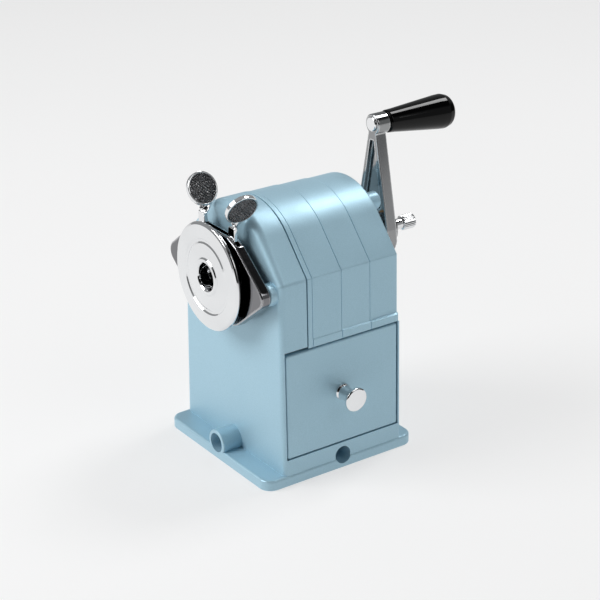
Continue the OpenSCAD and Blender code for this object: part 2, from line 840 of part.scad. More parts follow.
module adjust_knob() {
    y0 = adjust_neck_y;
    color(chrome)
    difference() {
        union() {
            turned_y(0, axis_z, [[1.55, y0], [2.2, y0], [2.2, y0 + 5.2], [1.55, y0 + 5.2]]);
            translate([0, y0 + 11.2, axis_z])
                rotate([90, 0, 0])
                    linear_extrude(6)
                        difference() {
                            circle(r = adjust_r, $fn = 96);
                            for (i = [0 : 17])
                                rotate(i * 20)
                                    translate([adjust_r + 0.1, 0])
                                        circle(r = 0.28, $fn = 16);
                            circle(r = 1.55, $fn = 48);
                        }
            rod_y(0, axis_z, 2, y0 + 10, y0 + 11.2);
        }
        rod_y(0, axis_z, 1.55, y0 - 1, y0 + 9.2);
    }
}

// Stop rod inside the shaft that limits how far the pencil goes in
module adjust_rod() {
    y0 = adjust_neck_y;
    color(steel)
    union() {
        rod_y(0, axis_z, 1.5, carrier_y1 + 2, y0 + 7);
        rod_y(0, axis_z, adjust_bore - run, carrier_y1 + 2, hub_y1 - 4);
    }
}

cut_y0 = 7.4;
cut_len = 30.6 - cut_y0;

// Milling cutter with raked teeth
module cutter() {
    color(steel)
    cutter_line()
        translate([0, 0, cut_y0])
            difference() {
                linear_extrude(cut_len)
                    cutter_section();
                translate([0, 0, -1])
                    cylinder(r = axle_r + 0.02, h = cut_len + 2, $fn = 48);
            }
}

module cutter_section() {
    n = 12;
    polygon([for (i = [0 : n - 1]) each [
        [cutter_r * cos(i * 30), cutter_r * sin(i * 30)],
        [(cutter_r - 1) * cos(i * 30 + 5), (cutter_r - 1) * sin(i * 30 + 5)],
        [(cutter_r - 0.9) * cos(i * 30 + 20), (cutter_r - 0.9) * sin(i * 30 + 20)]]]);
}

module cutter_axle() {
    color(steel)
    cutter_line()
        translate([0, 0, -3])
            cylinder(r = axle_r, h = cut_y0 + cut_len + 5.6, $fn = 48);
}

module pinion() {
    color(steel)
    cutter_line()
        translate([0, 0, -2.2])
            linear_extrude(4.4)
                difference() {
                    union() {
                        circle(r = pinion_pr - 1, $fn = 48);
                        for (i = [0 : pinion_teeth - 1])
                            rotate(270 + 360 / pinion_teeth * i)
                                tooth(pinion_pr - 1, pinion_pr + 0.55, 1.5, 0.55);
                    }
                    circle(r = axle_r + 0.02, $fn = 48);
                }
}

module pinion_washer() {
    color(steel)
    cutter_line()
        translate([0, 0, 2.45])
            difference() {
                cylinder(r = 3, h = 0.5, $fn = 48);
                translate([0, 0, -1])
                    cylinder(r = axle_r + 0.02, h = 3, $fn = 48);
            }
}

body_casting();
base_plate();
base_screws();
hood();
hood_screws();
ring_gear();
bearing_flange();
bearing_screws();
bearing_bush();
drawer_tray();
drawer_front();
drawer_knob();
drawer_rivets();
chuck_disc();
chuck_body();
chuck_sleeve();
guide_rods();
rod_clips();
rod_spring_left();
rod_spring_right();
lever_pins();
lever_left();
lever_right();
lever_spring();
carrier();
carrier_struts();
shaft();
crank_arm();
crank_pin();
crank_axle();
handle();
adjust_knob();
adjust_rod();
cutter();
cutter_axle();
pinion();
pinion_washer();
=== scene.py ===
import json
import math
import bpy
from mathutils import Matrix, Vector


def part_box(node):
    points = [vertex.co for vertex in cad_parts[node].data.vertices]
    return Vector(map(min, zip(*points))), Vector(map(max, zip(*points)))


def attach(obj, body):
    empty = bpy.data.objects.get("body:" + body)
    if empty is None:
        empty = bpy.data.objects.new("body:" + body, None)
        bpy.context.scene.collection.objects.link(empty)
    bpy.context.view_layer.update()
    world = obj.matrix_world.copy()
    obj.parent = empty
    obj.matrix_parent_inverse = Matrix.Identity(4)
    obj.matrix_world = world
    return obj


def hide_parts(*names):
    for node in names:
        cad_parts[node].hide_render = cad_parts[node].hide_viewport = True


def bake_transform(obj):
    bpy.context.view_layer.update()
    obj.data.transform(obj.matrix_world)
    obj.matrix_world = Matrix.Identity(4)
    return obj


bl_info = {
    "name": "Desk Pencil Sharpener",
    "version": (1, 0, 0),
    "blender": (4, 5, 0),
    "location": "View3D > Sidebar > Sharpener",
    "description": "Builds the visible pieces and finishes of a crank pencil sharpener",
    "category": "Object",
}

import bmesh
import bpy
from bpy.props import FloatProperty, FloatVectorProperty, IntProperty, PointerProperty
from mathutils import Matrix, Vector

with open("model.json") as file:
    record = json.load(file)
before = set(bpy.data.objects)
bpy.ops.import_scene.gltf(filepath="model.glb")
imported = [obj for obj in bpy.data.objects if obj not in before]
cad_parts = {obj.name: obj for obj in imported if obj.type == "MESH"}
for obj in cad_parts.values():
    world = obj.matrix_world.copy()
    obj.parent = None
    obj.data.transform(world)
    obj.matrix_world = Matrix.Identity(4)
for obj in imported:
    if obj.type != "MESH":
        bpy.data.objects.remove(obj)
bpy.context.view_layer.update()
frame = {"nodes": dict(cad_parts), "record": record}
MM = 0.001


def low(node):
    """Lowest corner of a CAD node, in millimetres."""
    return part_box(node)[0] / MM


def high(node):
    """Highest corner of a CAD node, in millimetres."""
    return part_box(node)[1] / MM


def middle(node):
    """Centre of a CAD node's box, in millimetres."""
    return (low(node) + high(node)) / 2


# ---------------------------------------------------------------- sizes set here, in millimetres

FLANGE_T = 4.2
FLANGE_FRONT = 8.4
FLANGE_REAR = 7.0
FLANGE_SIDE = 0.5
SOCKET_DEEP = 17
FRONT_SOCKET_R = 3.9
FRONT_SOCKET_Z = 6.6
SIDE_SOCKET_R = 3.5
SIDE_SOCKET_Z = 5.2
CLAMP_TUBE_R = 5.25
GUIDE_R = 2.0
GUIDE_BOSS_R = 4.25
RING_SEAT_R = 22.43
CHAMBER_R = 24.0
LUG_OUT = 19.9
LUG_R = 3.5
LUG_ANGLES = (61, 119, 270)
HOOD_LIP = 2.1
HOOD_BAND = 3.2
DRAWER_GAP = 0.35
TRAY_WALL = 1.3
KNOB_OUT = 9.2
PENCIL_R = 5.2
WING_TIP_R = 4.45
PAD_R = 6.4
PAD_X = 13.2
PAD_Z = 29.1
PAD_TURN = -3
PAD_TILT = 116
PIN_X = 9.6
PIN_Z = 13.4
ARM_FOOT_R = 10.7
ARM_HEAD_R = 4.1
ARM_T = 5.0
ADJUSTER_OUT = 20.4
AXLE_R = 2.2
HANDLE_LEN = 31.5
HANDLE_R = 6.85
HANDLE_DROOP = 2.5
CUTTER_R = 5.5
CUTTER_LEN = 23.2
CUTTER_TILT = 10

# ---------------------------------------------------------------- sizes read from the frame

AXIS_Z = middle("chuck_disc").z
HALF_W = high("body_casting").x - FLANGE_SIDE
FRONT_Y = low("body_casting").y + FLANGE_FRONT
REAR_Y = high("body_casting").y - FLANGE_REAR
SEAM_Y = low("hood").y - 0.1
ARCH_R = high("body_casting").z - AXIS_Z
DISC_Y = low("chuck_disc").y
WING_Y = (low("chuck_body").y, high("chuck_body").y)
ROD_X = (high("guide_rods").x - low("guide_rods").x) / 2 - GUIDE_R
CRANK_LEN = high("crank_arm").z - AXIS_Z - ARM_HEAD_R
ARM_Y = high("adjust_knob").y - ADJUSTER_OUT
HANDLE_Y = ARM_Y + 6.4
DRAWER_TOP = high("drawer_front").z + DRAWER_GAP
DRAWER_LOW = low("drawer_front").z - DRAWER_GAP
SHAFT_R = high("shaft").x
SLEEVE_R = high("chuck_sleeve").x

# Where the camera stands, in metres
CAMERA_PLACE = Vector((0.53193, -0.36838, 0.34588))


# ---------------------------------------------------------------- settings a user may change


class HousingSizes(bpy.types.PropertyGroup):
    """Sizes of the cast body and the hood, in millimetres."""

    slant: FloatProperty(
        name="Shoulder slant", description="Angle at which the shoulders fall away",
        default=math.radians(48), subtype="ANGLE")
    draft: FloatProperty(
        name="Draft", description="Lean of the side walls",
        default=math.radians(1.2), subtype="ANGLE")
    arch_round: FloatProperty(
        name="Arch rounding", description="Rounding of the front arch edge in millimetres",
        default=3.6, min=1.0, max=5.0)
    side_round: FloatProperty(
        name="Corner rounding", description="Rounding of the front upright edges in millimetres",
        default=2.0, min=0.5, max=4.0)
    edge_round: FloatProperty(
        name="Edge rounding", description="Rounding of the small casting edges in millimetres",
        default=0.55, min=0.1, max=1.5)
    panel_step: FloatProperty(
        name="Panel step", description="Step between hood panels in millimetres",
        default=0.3, min=0.05, max=1.0)


class ChuckSizes(bpy.types.PropertyGroup):
    """Sizes of the feed chuck, in millimetres."""

    groove_r: FloatProperty(
        name="Groove radius", description="Radius of the disc's turned groove in millimetres",
        default=13.9, min=5.0, max=18.0)
    hatch_pitch: FloatProperty(
        name="Hatch pitch", description="Pitch of the crosshatching on the pads in millimetres",
        default=1.0, min=0.4, max=3.0)
    hatch_depth: FloatProperty(
        name="Hatch depth", description="Depth of the crosshatching in millimetres",
        default=0.3, min=0.05, max=1.0)
    coil_turns: IntProperty(
        name="Spring turns", description="Turns in each return spring", default=11, min=3, max=30)


class FinishColours(bpy.types.PropertyGroup):
    """Colours of the finishes."""

    paint: FloatVectorProperty(
        name="Paint", description="Body paint", subtype="COLOR", size=3,
        default=(0.43, 0.64, 0.76), min=0.0, max=1.0)
    paint_shade: FloatVectorProperty(
        name="Paint shade", description="Darker flakes in the body paint", subtype="COLOR",
        size=3, default=(0.39, 0.60, 0.71), min=0.0, max=1.0)
    chrome: FloatVectorProperty(
        name="Chrome", description="Bright plate", subtype="COLOR", size=3,
        default=(0.86, 0.87, 0.88), min=0.0, max=1.0)
    steel: FloatVectorProperty(
        name="Steel", description="Bare steel", subtype="COLOR", size=3,
        default=(0.44, 0.44, 0.45), min=0.0, max=1.0)
    handle: FloatVectorProperty(
        name="Handle", description="Black handle", subtype="COLOR", size=3,
        default=(0.0008, 0.0008, 0.0009), min=0.0, max=1.0)
    bronze: FloatVectorProperty(
        name="Bronze", description="Bearing bush", subtype="COLOR", size=3,
        default=(0.46, 0.30, 0.14), min=0.0, max=1.0)


class StageSettings(bpy.types.PropertyGroup):
    """Camera and light."""

    azimuth: FloatProperty(
        name="Azimuth", description="Camera direction round the object",
        default=math.radians(54.98), subtype="ANGLE")
    elevation: FloatProperty(
        name="Elevation", description="Camera height above the horizon",
        default=math.radians(24.04), subtype="ANGLE")
    roll: FloatProperty(
        name="Roll", description="Camera roll", default=math.radians(-0.44), subtype="ANGLE")
    lens: FloatProperty(
        name="Lens", description="Focal length in millimetres", default=111.0, min=20, max=300)
    light: FloatProperty(
        name="Light", description="Strength of the soft lights", default=1.0, min=0.1, max=4.0)


# ---------------------------------------------------------------- outlines and meshes


def corner_path(corners, closed=True, steps=6):
    """Points of a path whose corners (a, b, radius) are rounded with arcs."""
    points = []
    count = len(corners)
    for i, (a, b, radius) in enumerate(corners):
        here = Vector((a, b))
        if radius <= 0 or (not closed and i in (0, count - 1)):
            points.append(here)
            continue
        before = Vector(corners[i - 1][:2]) - here
        after = Vector(corners[(i + 1) % count][:2]) - here
        half = before.angle(after) / 2
        reach = min(radius / math.tan(half), before.length * 0.49, after.length * 0.49)
        radius = reach * math.tan(half)
        before.normalize()
        after.normalize()
        centre = here + (before + after).normalized() * (radius / math.sin(half))
        start = here + before * reach - centre
        turn = start.angle_signed(here + after * reach - centre)
        for k in range(steps + 1):
            angle = -turn * k / steps
            points.append(centre + Matrix.Rotation(angle, 2) @ start)
    return points


def inset_points(points, distance):
    """A closed path moved inwards by a distance, or by one distance for each point."""
    count = len(points)
    area = sum(points[i - 1].x * points[i].y - points[i].x * points[i - 1].y
               for i in range(count))
    side = 1 if area > 0 else -1
    moved = []
    for i, p in enumerate(points):
        gap = distance[i] if isinstance(distance, (list, tuple)) else distance
        a = (p - points[i - 1]).normalized()
        b = (points[(i + 1) % count] - p).normalized()
        normal = Vector((-(a.y + b.y), a.x + b.x)) * side
        if normal.length < 1e-9:
            normal = Vector((-a.y, a.x)) * side
        normal.normalize()
        share = max(0.5, normal.dot(Vector((-a.y, a.x)) * side))
        moved.append(p + normal * gap / share)
    return moved


def arch_points(inset=0.0, z_low=None, crease_round=1.2, arch_steps=48):
    """Cross-section of the body: sides with draft, slanted shoulders and a round top."""
    s = bpy.context.scene.sharpener_housing
    lean = math.tan(s.draft)
    nx, nz = math.sin(s.slant), math.cos(s.slant)
    r = ARCH_R - inset
    z_low = FLANGE_T if z_low is None else z_low
    half = HALF_W - inset
    crease = ((r + nz * AXIS_Z - nx * half - nx * lean * FLANGE_T) / (nz - nx * lean))

    def side(z):
        return half - lean * (z - FLANGE_T)

    right = corner_path(
        [(side(z_low), z_low, 0), (side(crease), crease, crease_round),
         (r * nx, AXIS_Z + r * nz, 0)], closed=False, steps=5)
    first = math.atan2(nz, nx)
    arch = [Vector((r * math.cos(a), AXIS_Z + r * math.sin(a)))
            for a in [first + (math.pi - 2 * first) * k / arch_steps
                      for k in range(1, arch_steps)]]
    left = [Vector((-p.x, p.y)) for p in reversed(right)]
    return right + arch + left


def new_object(name, verts, faces):
    """A mesh object made from points in millimetres."""
    mesh = bpy.data.meshes.new(name)
    mesh.from_pydata([Vector(v) * MM for v in verts], [], faces)
    mesh.validate()
    obj = bpy.data.objects.new(name, mesh)
    bpy.context.scene.collection.objects.link(obj)
    return obj


def fix_normals(obj):
    """Turns all faces of a closed mesh outwards."""
    bm = bmesh.new()
    bm.from_mesh(obj.data)
    bmesh.ops.remove_doubles(bm, verts=bm.verts, dist=1e-7)
    bmesh.ops.recalc_face_normals(bm, faces=bm.faces)
    bm.to_mesh(obj.data)
    bm.free()


def loft(name, rings, caps=(True, True)):
    """A skin over closed rings with the same number of points, with flat ends."""
    count = len(rings[0])
    verts = [p for ring in rings for p in ring]
    faces = []
    for r in range(len(rings) - 1):
        for i in range(count):
            j = (i + 1) % count
            faces.append((r * count + i, r * count + j, (r + 1) * count + j, (r + 1) * count + i))
    if caps[0]:
        faces.append(tuple(range(count))[::-1])
    if caps[1]:
        last = (len(rings) - 1) * count
        faces.append(tuple(last + i for i in range(count)))
    obj = new_object(name, verts, faces)
    fix_normals(obj)
    return obj


def upright(points, y):
    """Ring in the X-Z plane at depth y."""
    return [(p.x, y, p.y) for p in points]


def prism_y(name, points, y0, y1, rounding=0.0, steps=4):
    """A plate with this outline in X and Z between two depths, its edges rounded."""
    rings = []
    turns = [0.0] if rounding <= 0 else [k / steps for k in range(steps + 1)]
    for k in turns:
        a = k * math.pi / 2
        rings.append(upright(inset_points(points, rounding * (1 - math.sin(a))),
                             y0 + rounding * (1 - math.cos(a))))
    for k in reversed(turns):
        a = k * math.pi / 2
        rings.append(upright(inset_points(points, rounding * (1 - math.sin(a))),
                             y1 - rounding * (1 - math.cos(a))))
    return loft(name, rings)


def prism_z(name, points, z0, z1, low_round=0.0, top_round=0.0, steps=4):
    """A plate with this outline in X and Y between two heights."""
    rings = []
    for k in range(steps + 1 if low_round else 1):
        a = k / steps * math.pi / 2
        gap = low_round * (1 - math.sin(a)) if low_round else 0
        rise = low_round * (1 - math.cos(a)) if low_round else 0
        rings.append([(p.x, p.y, z0 + rise) for p in inset_points(points, gap)])
    for k in range(steps, -1, -1) if top_round else [0]:
        a = k / steps * math.pi / 2
        gap = top_round * (1 - math.sin(a)) if top_round else 0
        drop = top_round * (1 - math.cos(a)) if top_round else 0
        rings.append([(p.x, p.y, z1 - drop) for p in inset_points(points, gap)])
    return loft(name, rings)


def strip_faces(rows, segments):
    """Faces between rows of points that run round an axis; a row may be one point."""
    faces = []
    for a, b in zip(rows, rows[1:]):
        for k in range(segments):
            j = (k + 1) % segments
            face = []
            for v in (a[k], a[j], b[j], b[k]):
                if v not in face:
                    face.append(v)
            if len(face) > 2:
                faces.append(tuple(face))
    return faces


def turned(name, corners, x=0.0, z=0.0, segments=96, closed=True, axis="Y", steps=4):
    """A solid of revolution; corners are (radius, distance along the axis, rounding)."""
    path = corner_path(corners, closed=closed, steps=steps)
    verts, rows = [], []
    for p in path:
        if abs(p.x) < 1e-6:
            rows.append([len(verts)] * segments)
            verts.append((0, p.y, 0))
        else:
            rows.append(list(range(len(verts), len(verts) + segments)))
            verts += [(p.x * math.cos(t), p.y, p.x * math.sin(t))
                      for t in [2 * math.pi * k / segments for k in range(segments)]]
    faces = strip_faces(rows + rows[:1] if closed else rows, segments)
    if axis == "X":
        verts = [(y, u, v) for u, y, v in verts]
    elif axis == "Z":
        verts = [(u, v, y) for u, y, v in verts]
    obj = new_object(name, verts, faces)
    fix_normals(obj)
    if axis == "Y":
        shift(obj, (x, 0, z))
    return obj


def shift(obj, offset):
    """Moves a mesh's points by an offset in millimetres."""
    obj.data.transform(Matrix.Translation(Vector(offset) * MM))
    return obj


def turn(obj, matrix):
    """Turns a mesh's points about the origin."""
    obj.data.transform(matrix)
    return obj


def rod(name, start, end, radius, segments=64, rounding=0.3):
    """A round bar from start to end with rounded rims, in millimetres."""
    start, end = Vector(start), Vector(end)
    length = (end - start).length
    obj = turned(name, [(0, 0, 0), (radius, 0, rounding), (radius, length, rounding),
                        (0, length, 0)], segments=segments, closed=False, axis="Z", steps=3)
    aim = (end - start).to_track_quat("Z", "Y").to_matrix().to_4x4()
    turn(obj, aim)
    return shift(obj, start)


def box(name, x0, x1, y0, y1, z0, z1):
    """A plain block, used as a cutter."""
    verts = [(x, y, z) for x in (x0, x1) for y in (y0, y1) for z in (z0, z1)]
    faces = [(0, 1, 3, 2), (4, 6, 7, 5), (0, 4, 5, 1), (2, 3, 7, 6), (0, 2, 6, 4), (1, 5, 7, 3)]
    obj = new_object(name, verts, faces)
    fix_normals(obj)
    return obj


def settle(obj):
    """Applies the object's modifiers to its mesh."""
    bpy.context.view_layer.update()
    seen = obj.evaluated_get(bpy.context.evaluated_depsgraph_get())
    mesh = bpy.data.meshes.new_from_object(seen)
    obj.modifiers.clear()
    old = obj.data
    obj.data = mesh
    mesh.name = obj.name
    bpy.data.meshes.remove(old)
    return obj


def combine(obj, tools, operation):
    """Adds or takes away other solids, which are used up."""
    for tool in tools:
        mod = obj.modifiers.new("solid", "BOOLEAN")
        mod.operation = operation
        mod.solver = "MANIFOLD"
        mod.object = tool
        settle(obj)
        bpy.data.objects.remove(tool)
    return obj


def soften(obj, width, angle=32.0, segments=3):
    """Rounds the sharp edges of a solid."""
    mod = obj.modifiers.new("rounding", "BEVEL")
    mod.width = width * MM
    mod.segments = segments
    mod.limit_method = "ANGLE"
    mod.angle_limit = math.radians(angle)
    mod.harden_normals = False
    mod.use_clamp_overlap = True
    return settle(obj)


def join(name, pieces):
    """Several meshes as one object."""
    verts, faces = [], []
    for piece in pieces:
        base = len(verts)
        verts += [v.co / MM for v in piece.data.vertices]
        faces += [tuple(base + i for i in poly.vertices) for poly in piece.data.polygons]
        bpy.data.objects.remove(piece)
    return new_object(name, verts, faces)


def fit(obj, body, finish, nodes=(), smooth_angle=32.0):
    """Gives a piece its finish and puts it on its CAD body."""
    mesh = obj.data
    mesh.polygons.foreach_set("use_smooth", [True] * len(mesh.polygons))
    mesh.set_sharp_from_angle(angle=math.radians(smooth_angle))
    weigh = obj.modifiers.new("flat_faces", "WEIGHTED_NORMAL")
    weigh.keep_sharp = True
    settle(obj)
    mesh = obj.data
    mesh.materials.clear()
    mesh.materials.append(finish)
    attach(obj, body)
    if nodes:
        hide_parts(*nodes)
    return obj


# ---------------------------------------------------------------- finishes


def node_group(name, inputs, outputs):
    """A shader node group with named sockets, and its input and output nodes."""
    group = bpy.data.node_groups.new(name, "ShaderNodeTree")
    for label, value in inputs:
        socket = group.interface.new_socket(name=label, in_out="INPUT",
                                            socket_type="NodeSocketFloat")
        socket.default_value = value
    for label, kind in outputs:
        group.interface.new_socket(name=label, in_out="OUTPUT", socket_type=kind)
    return group, group.nodes.new("NodeGroupInput"), group.nodes.new("NodeGroupOutput")


def math_node(tree, operation, a, b=None, clamp=False):
    """A Math node with its inputs linked or set."""
    node = tree.nodes.new("ShaderNodeMath")
    node.operation = operation
    node.use_clamp = clamp
    for i, value in enumerate((a, b)):
        if value is None:
            continue
        if isinstance(value, (int, float)):
            node.inputs[i].default_value = value
        else:
            tree.links.new(value, node.inputs[i])
    return node.outputs[0]


def grain_group():
    """Cloudy variation and fine peel of a sprayed or cast surface."""
    group, given, out = node_group(
        "Surface_Grain", [("Cloud Scale", 40.0), ("Fine Scale", 1400.0)],
        [("Cloud", "NodeSocketFloat"), ("Fine", "NodeSocketFloat")])
    where = group.nodes.new("ShaderNodeTexCoord")
    for label, detail, scale in (("Cloud", 3.0, "Cloud Scale"), ("Fine", 2.0, "Fine Scale")):
        noise = group.nodes.new("ShaderNodeTexNoise")
        noise.inputs["Detail"].default_value = detail
        group.links.new(where.outputs["Object"], noise.inputs["Vector"])
        group.links.new(given.outputs[scale], noise.inputs["Scale"])
        group.links.new(noise.outputs["Fac"], out.inputs[label])
    return group


def wear_and_highlight_group():
    """Mask of the outer edges, broken up by noise; it gives worn paint edges and the painted
    highlights along the edges of polished metal.
    """
    group, given, out = node_group(
        "Edge_Wear_And_Highlight", [("Radius", 0.0006), ("Break Scale", 220.0), ("Amount", 1.0)],
        [("Mask", "NodeSocketFloat")])
    round_off = group.nodes.new("ShaderNodeBevel")
    round_off.samples = 4
    group.links.new(given.outputs["Radius"], round_off.inputs["Radius"])
    shape = group.nodes.new("ShaderNodeNewGeometry")
    dot = group.nodes.new("ShaderNodeVectorMath")
    dot.operation = "DOT_PRODUCT"
    group.links.new(round_off.outputs[0], dot.inputs[0])
    group.links.new(shape.outputs["Normal"], dot.inputs[1])
    bend = math_node(group, "SUBTRACT", 1.0, dot.outputs["Value"])
    where = group.nodes.new("ShaderNodeTexCoord")
    noise = group.nodes.new("ShaderNodeTexNoise")
    noise.inputs["Detail"].default_value = 4.0
    group.links.new(where.outputs["Object"], noise.inputs["Vector"])
    group.links.new(given.outputs["Break Scale"], noise.inputs["Scale"])
    strong = math_node(group, "MULTIPLY", bend, 9.0)
    broken = math_node(group, "MULTIPLY", strong, noise.outputs["Fac"])
    mask = math_node(group, "MULTIPLY", broken, given.outputs["Amount"], clamp=True)
    group.links.new(mask, out.inputs["Mask"])
    return group


def scratch_group():
    """Long thin marks such as turning lines and handling scratches."""
    group, given, out = node_group(
        "Fine_Scratches", [("Scale", 300.0), ("Stretch", 40.0)],
        [("Marks", "NodeSocketFloat")])
    where = group.nodes.new("ShaderNodeTexCoord")
    squeeze = group.nodes.new("ShaderNodeCombineXYZ")
    group.links.new(given.outputs["Stretch"], squeeze.inputs["X"])
    squeeze.inputs["Y"].default_value = 1.0
    squeeze.inputs["Z"].default_value = 1.0
    scaled = group.nodes.new("ShaderNodeVectorMath")
    scaled.operation = "MULTIPLY"
    group.links.new(where.outputs["Object"], scaled.inputs[0])
    group.links.new(squeeze.outputs[0], scaled.inputs[1])
    noise = group.nodes.new("ShaderNodeTexNoise")
    noise.inputs["Detail"].default_value = 5.0
    noise.inputs["Roughness"].default_value = 0.7
    group.links.new(scaled.outputs[0], noise.inputs["Vector"])
    group.links.new(given.outputs["Scale"], noise.inputs["Scale"])
    group.links.new(noise.outputs["Fac"], out.inputs["Marks"])
    return group


def placed(tree, group_name, **values):
    """A node that uses one of the shared groups, with its values set."""
    node = tree.nodes.new("ShaderNodeGroup")
    node.node_tree = bpy.data.node_groups[group_name]
    for label, value in values.items():
        node.inputs[label.replace("_", " ")].default_value = value
    return node


def spread(tree, value, low_value, high_value, from_low=0.3, from_high=0.7):
    """Maps a 0 to 1 mask to a range."""
    node = tree.nodes.new("ShaderNodeMapRange")
    node.inputs["From Min"].default_value = from_low
    node.inputs["From Max"].default_value = from_high
    node.inputs["To Min"].default_value = low_value
    node.inputs["To Max"].default_value = high_value
    tree.links.new(value, node.inputs["Value"])
    return node.outputs["Result"]


def mixed(tree, mask, first, second):
    """Mixes two colours by a mask."""
    node = tree.nodes.new("ShaderNodeMix")
    node.data_type = "RGBA"
    for socket, value in ((node.inputs[6], first), (node.inputs[7], second)):
        if isinstance(value, (tuple, list)):
            socket.default_value = (*value[:3], 1.0)
        else:
            tree.links.new(value, socket)
    tree.links.new(mask, node.inputs["Factor"])
    return node.outputs[2]


def bumped(tree, height, distance, strength):
    """A Bump node fed by a height."""
    node = tree.nodes.new("ShaderNodeBump")
    node.inputs["Distance"].default_value = distance
    node.inputs["Strength"].default_value = strength
    tree.links.new(height, node.inputs["Height"])
    return node.outputs["Normal"]


def finish(name, metallic):
    """An empty material with its shader; a material already of that name steps aside."""
    if name in bpy.data.materials:
        bpy.data.materials[name].name = f"{name}_cad"
    material = bpy.data.materials.new(name)
    material.use_nodes = True
    shader = material.node_tree.nodes["Principled BSDF"]
    shader.inputs["Metallic"].default_value = metallic
    return material, material.node_tree, shader


def paint_finish():
    """Satin metallic paint over the castings."""
    colours = bpy.context.scene.sharpener_finish
    material, tree, shader = finish("blue_paint", 0.3)
    shader.inputs["Specular IOR Level"].default_value = 0.3
    grain = placed(tree, "Surface_Grain", Cloud_Scale=55.0, Fine_Scale=2600.0)
    wear = placed(tree, "Edge_Wear_And_Highlight", Radius=0.0005, Break_Scale=160.0, Amount=0.5)
    flake = spread(tree, grain.outputs["Fine"], 0.0, 1.0, 0.35, 0.65)
    base = mixed(tree, flake, tuple(colours.paint_shade), tuple(colours.paint))
    pale = tuple(min(1.0, c * 1.15 + 0.05) for c in colours.paint)
    colour = mixed(tree, wear.outputs["Mask"], base, pale)
    tree.links.new(colour, shader.inputs["Base Color"])
    tree.links.new(spread(tree, grain.outputs["Cloud"], 0.36, 0.46), shader.inputs["Roughness"])
    tree.links.new(bumped(tree, grain.outputs["Fine"], 0.00006, 0.35), shader.inputs["Normal"])
    return material


def metal_finish(name, colour, rough, marks=0.04, scale=260.0, stretch=14.0, bump=0.08):
    """Bare or plated metal with fine marks."""
    material, tree, shader = finish(name, 1.0)
    scratches = placed(tree, "Fine_Scratches", Scale=scale, Stretch=stretch)
    grain = placed(tree, "Surface_Grain", Cloud_Scale=30.0, Fine_Scale=900.0)
    dull = tuple(c * 0.9 for c in colour)
    tint = mixed(tree, spread(tree, grain.outputs["Cloud"], 0.0, 1.0), dull, tuple(colour))
    tree.links.new(tint, shader.inputs["Base Color"])
    tree.links.new(spread(tree, scratches.outputs["Marks"], rough, rough + marks),
                   shader.inputs["Roughness"])
    tree.links.new(bumped(tree, scratches.outputs["Marks"], 0.00002, bump),
                   shader.inputs["Normal"])
    return material


def painted_reflection_finish(name, dark, bright, rough, radius=0.0009, amount=2.6):
    """Polished metal whose colour holds painted light: a painted dark reflection on its flanks and
    a painted highlight along its edges.
    """
    material, tree, shader = finish(name, 1.0)
    edges = placed(tree, "Edge_Wear_And_Highlight", Radius=radius, Break_Scale=90.0, Amount=amount)
    scratches = placed(tree, "Fine_Scratches", Scale=120.0, Stretch=10.0)
    # The dark colour is a painted dark reflection, and the bright colour is a painted highlight
    # that the mask lays on the edges.
    tree.links.new(mixed(tree, edges.outputs["Mask"], dark, bright),
                   shader.inputs["Base Color"])
    tree.links.new(spread(tree, scratches.outputs["Marks"], rough, rough + 0.04),
                   shader.inputs["Roughness"])
    return material


def black_finish(name, colour, rough, specular=0.25):
    """Glossy or matt black."""
    material, tree, shader = finish(name, 0.0)
    shader.inputs["Specular IOR Level"].default_value = specular
    grain = placed(tree, "Surface_Grain", Cloud_Scale=60.0, Fine_Scale=1500.0)
    lift = tuple(c * 1.6 for c in colour)
    tint = mixed(tree, spread(tree, grain.outputs["Cloud"], 0.0, 1.0), tuple(colour), lift)
    tree.links.new(tint, shader.inputs["Base Color"])
    tree.links.new(spread(tree, grain.outputs["Cloud"], rough, rough + 0.05),
                   shader.inputs["Roughness"])
    tree.links.new(bumped(tree, grain.outputs["Fine"], 0.00003, 0.06), shader.inputs["Normal"])
    return material


def build_finishes():
    """All finishes by slot name."""
    grain_group()
    wear_and_highlight_group()
    scratch_group()
    colours = bpy.context.scene.sharpener_finish
    steel = tuple(colours.steel)
    paint_finish()
    metal_finish("chrome_plate", tuple(colours.chrome), 0.045, marks=0.03, bump=0.03)
    # Chuck body and crank arm chrome, darkened as a painted dark reflection, with painted
    # highlights along their edges.
    painted_reflection_finish("dark_polish", (0.2, 0.2, 0.21), tuple(colours.chrome), 0.06)
    painted_reflection_finish("arm_polish", (0.3, 0.305, 0.31), tuple(colours.chrome), 0.08)
    metal_finish("rod_steel", tuple(c * 1.3 for c in steel), 0.2, marks=0.1)
    metal_finish("screw_steel", tuple(c * 1.2 for c in steel), 0.28, marks=0.12)
    metal_finish("gear_steel", steel, 0.35, marks=0.12)
    metal_finish("tray_steel", tuple(c * 1.1 for c in steel), 0.3, marks=0.12, stretch=30.0)
    metal_finish("spring_steel", steel, 0.25, marks=0.08)
    metal_finish("cutter_steel", tuple(c * 0.7 for c in steel), 0.3, marks=0.1)
    metal_finish("bush_brass", tuple(colours.bronze), 0.28, marks=0.1)
    black_finish("black_handle", tuple(colours.handle), 0.03, specular=0.22)
    black_finish("black_steel", (0.012, 0.012, 0.013), 0.45)
    # Pad faces: near black as a painted dark reflection, with painted highlights on the hatch
    # ridges.
    painted_reflection_finish("dark_knurl", (0.02, 0.02, 0.022), (0.6, 0.6, 0.61), 0.25, radius=0.00012,
                 amount=4.0)


def paint(slot):
    """The finish of a slot."""
    return bpy.data.materials[slot]


# ---------------------------------------------------------------- operators


class BuildStep(bpy.types.Operator):
    """Shared parts of the building operators."""

    bl_options = {"REGISTER", "UNDO"}

    def execute(self, context):
        self.build(context)
        return {"FINISHED"}


class SHARPENER_OT_finishes(BuildStep):
    """Make the finishes."""

    bl_idname = "sharpener.finishes"
    bl_label = "Finishes"

    def build(self, context):
        build_finishes()


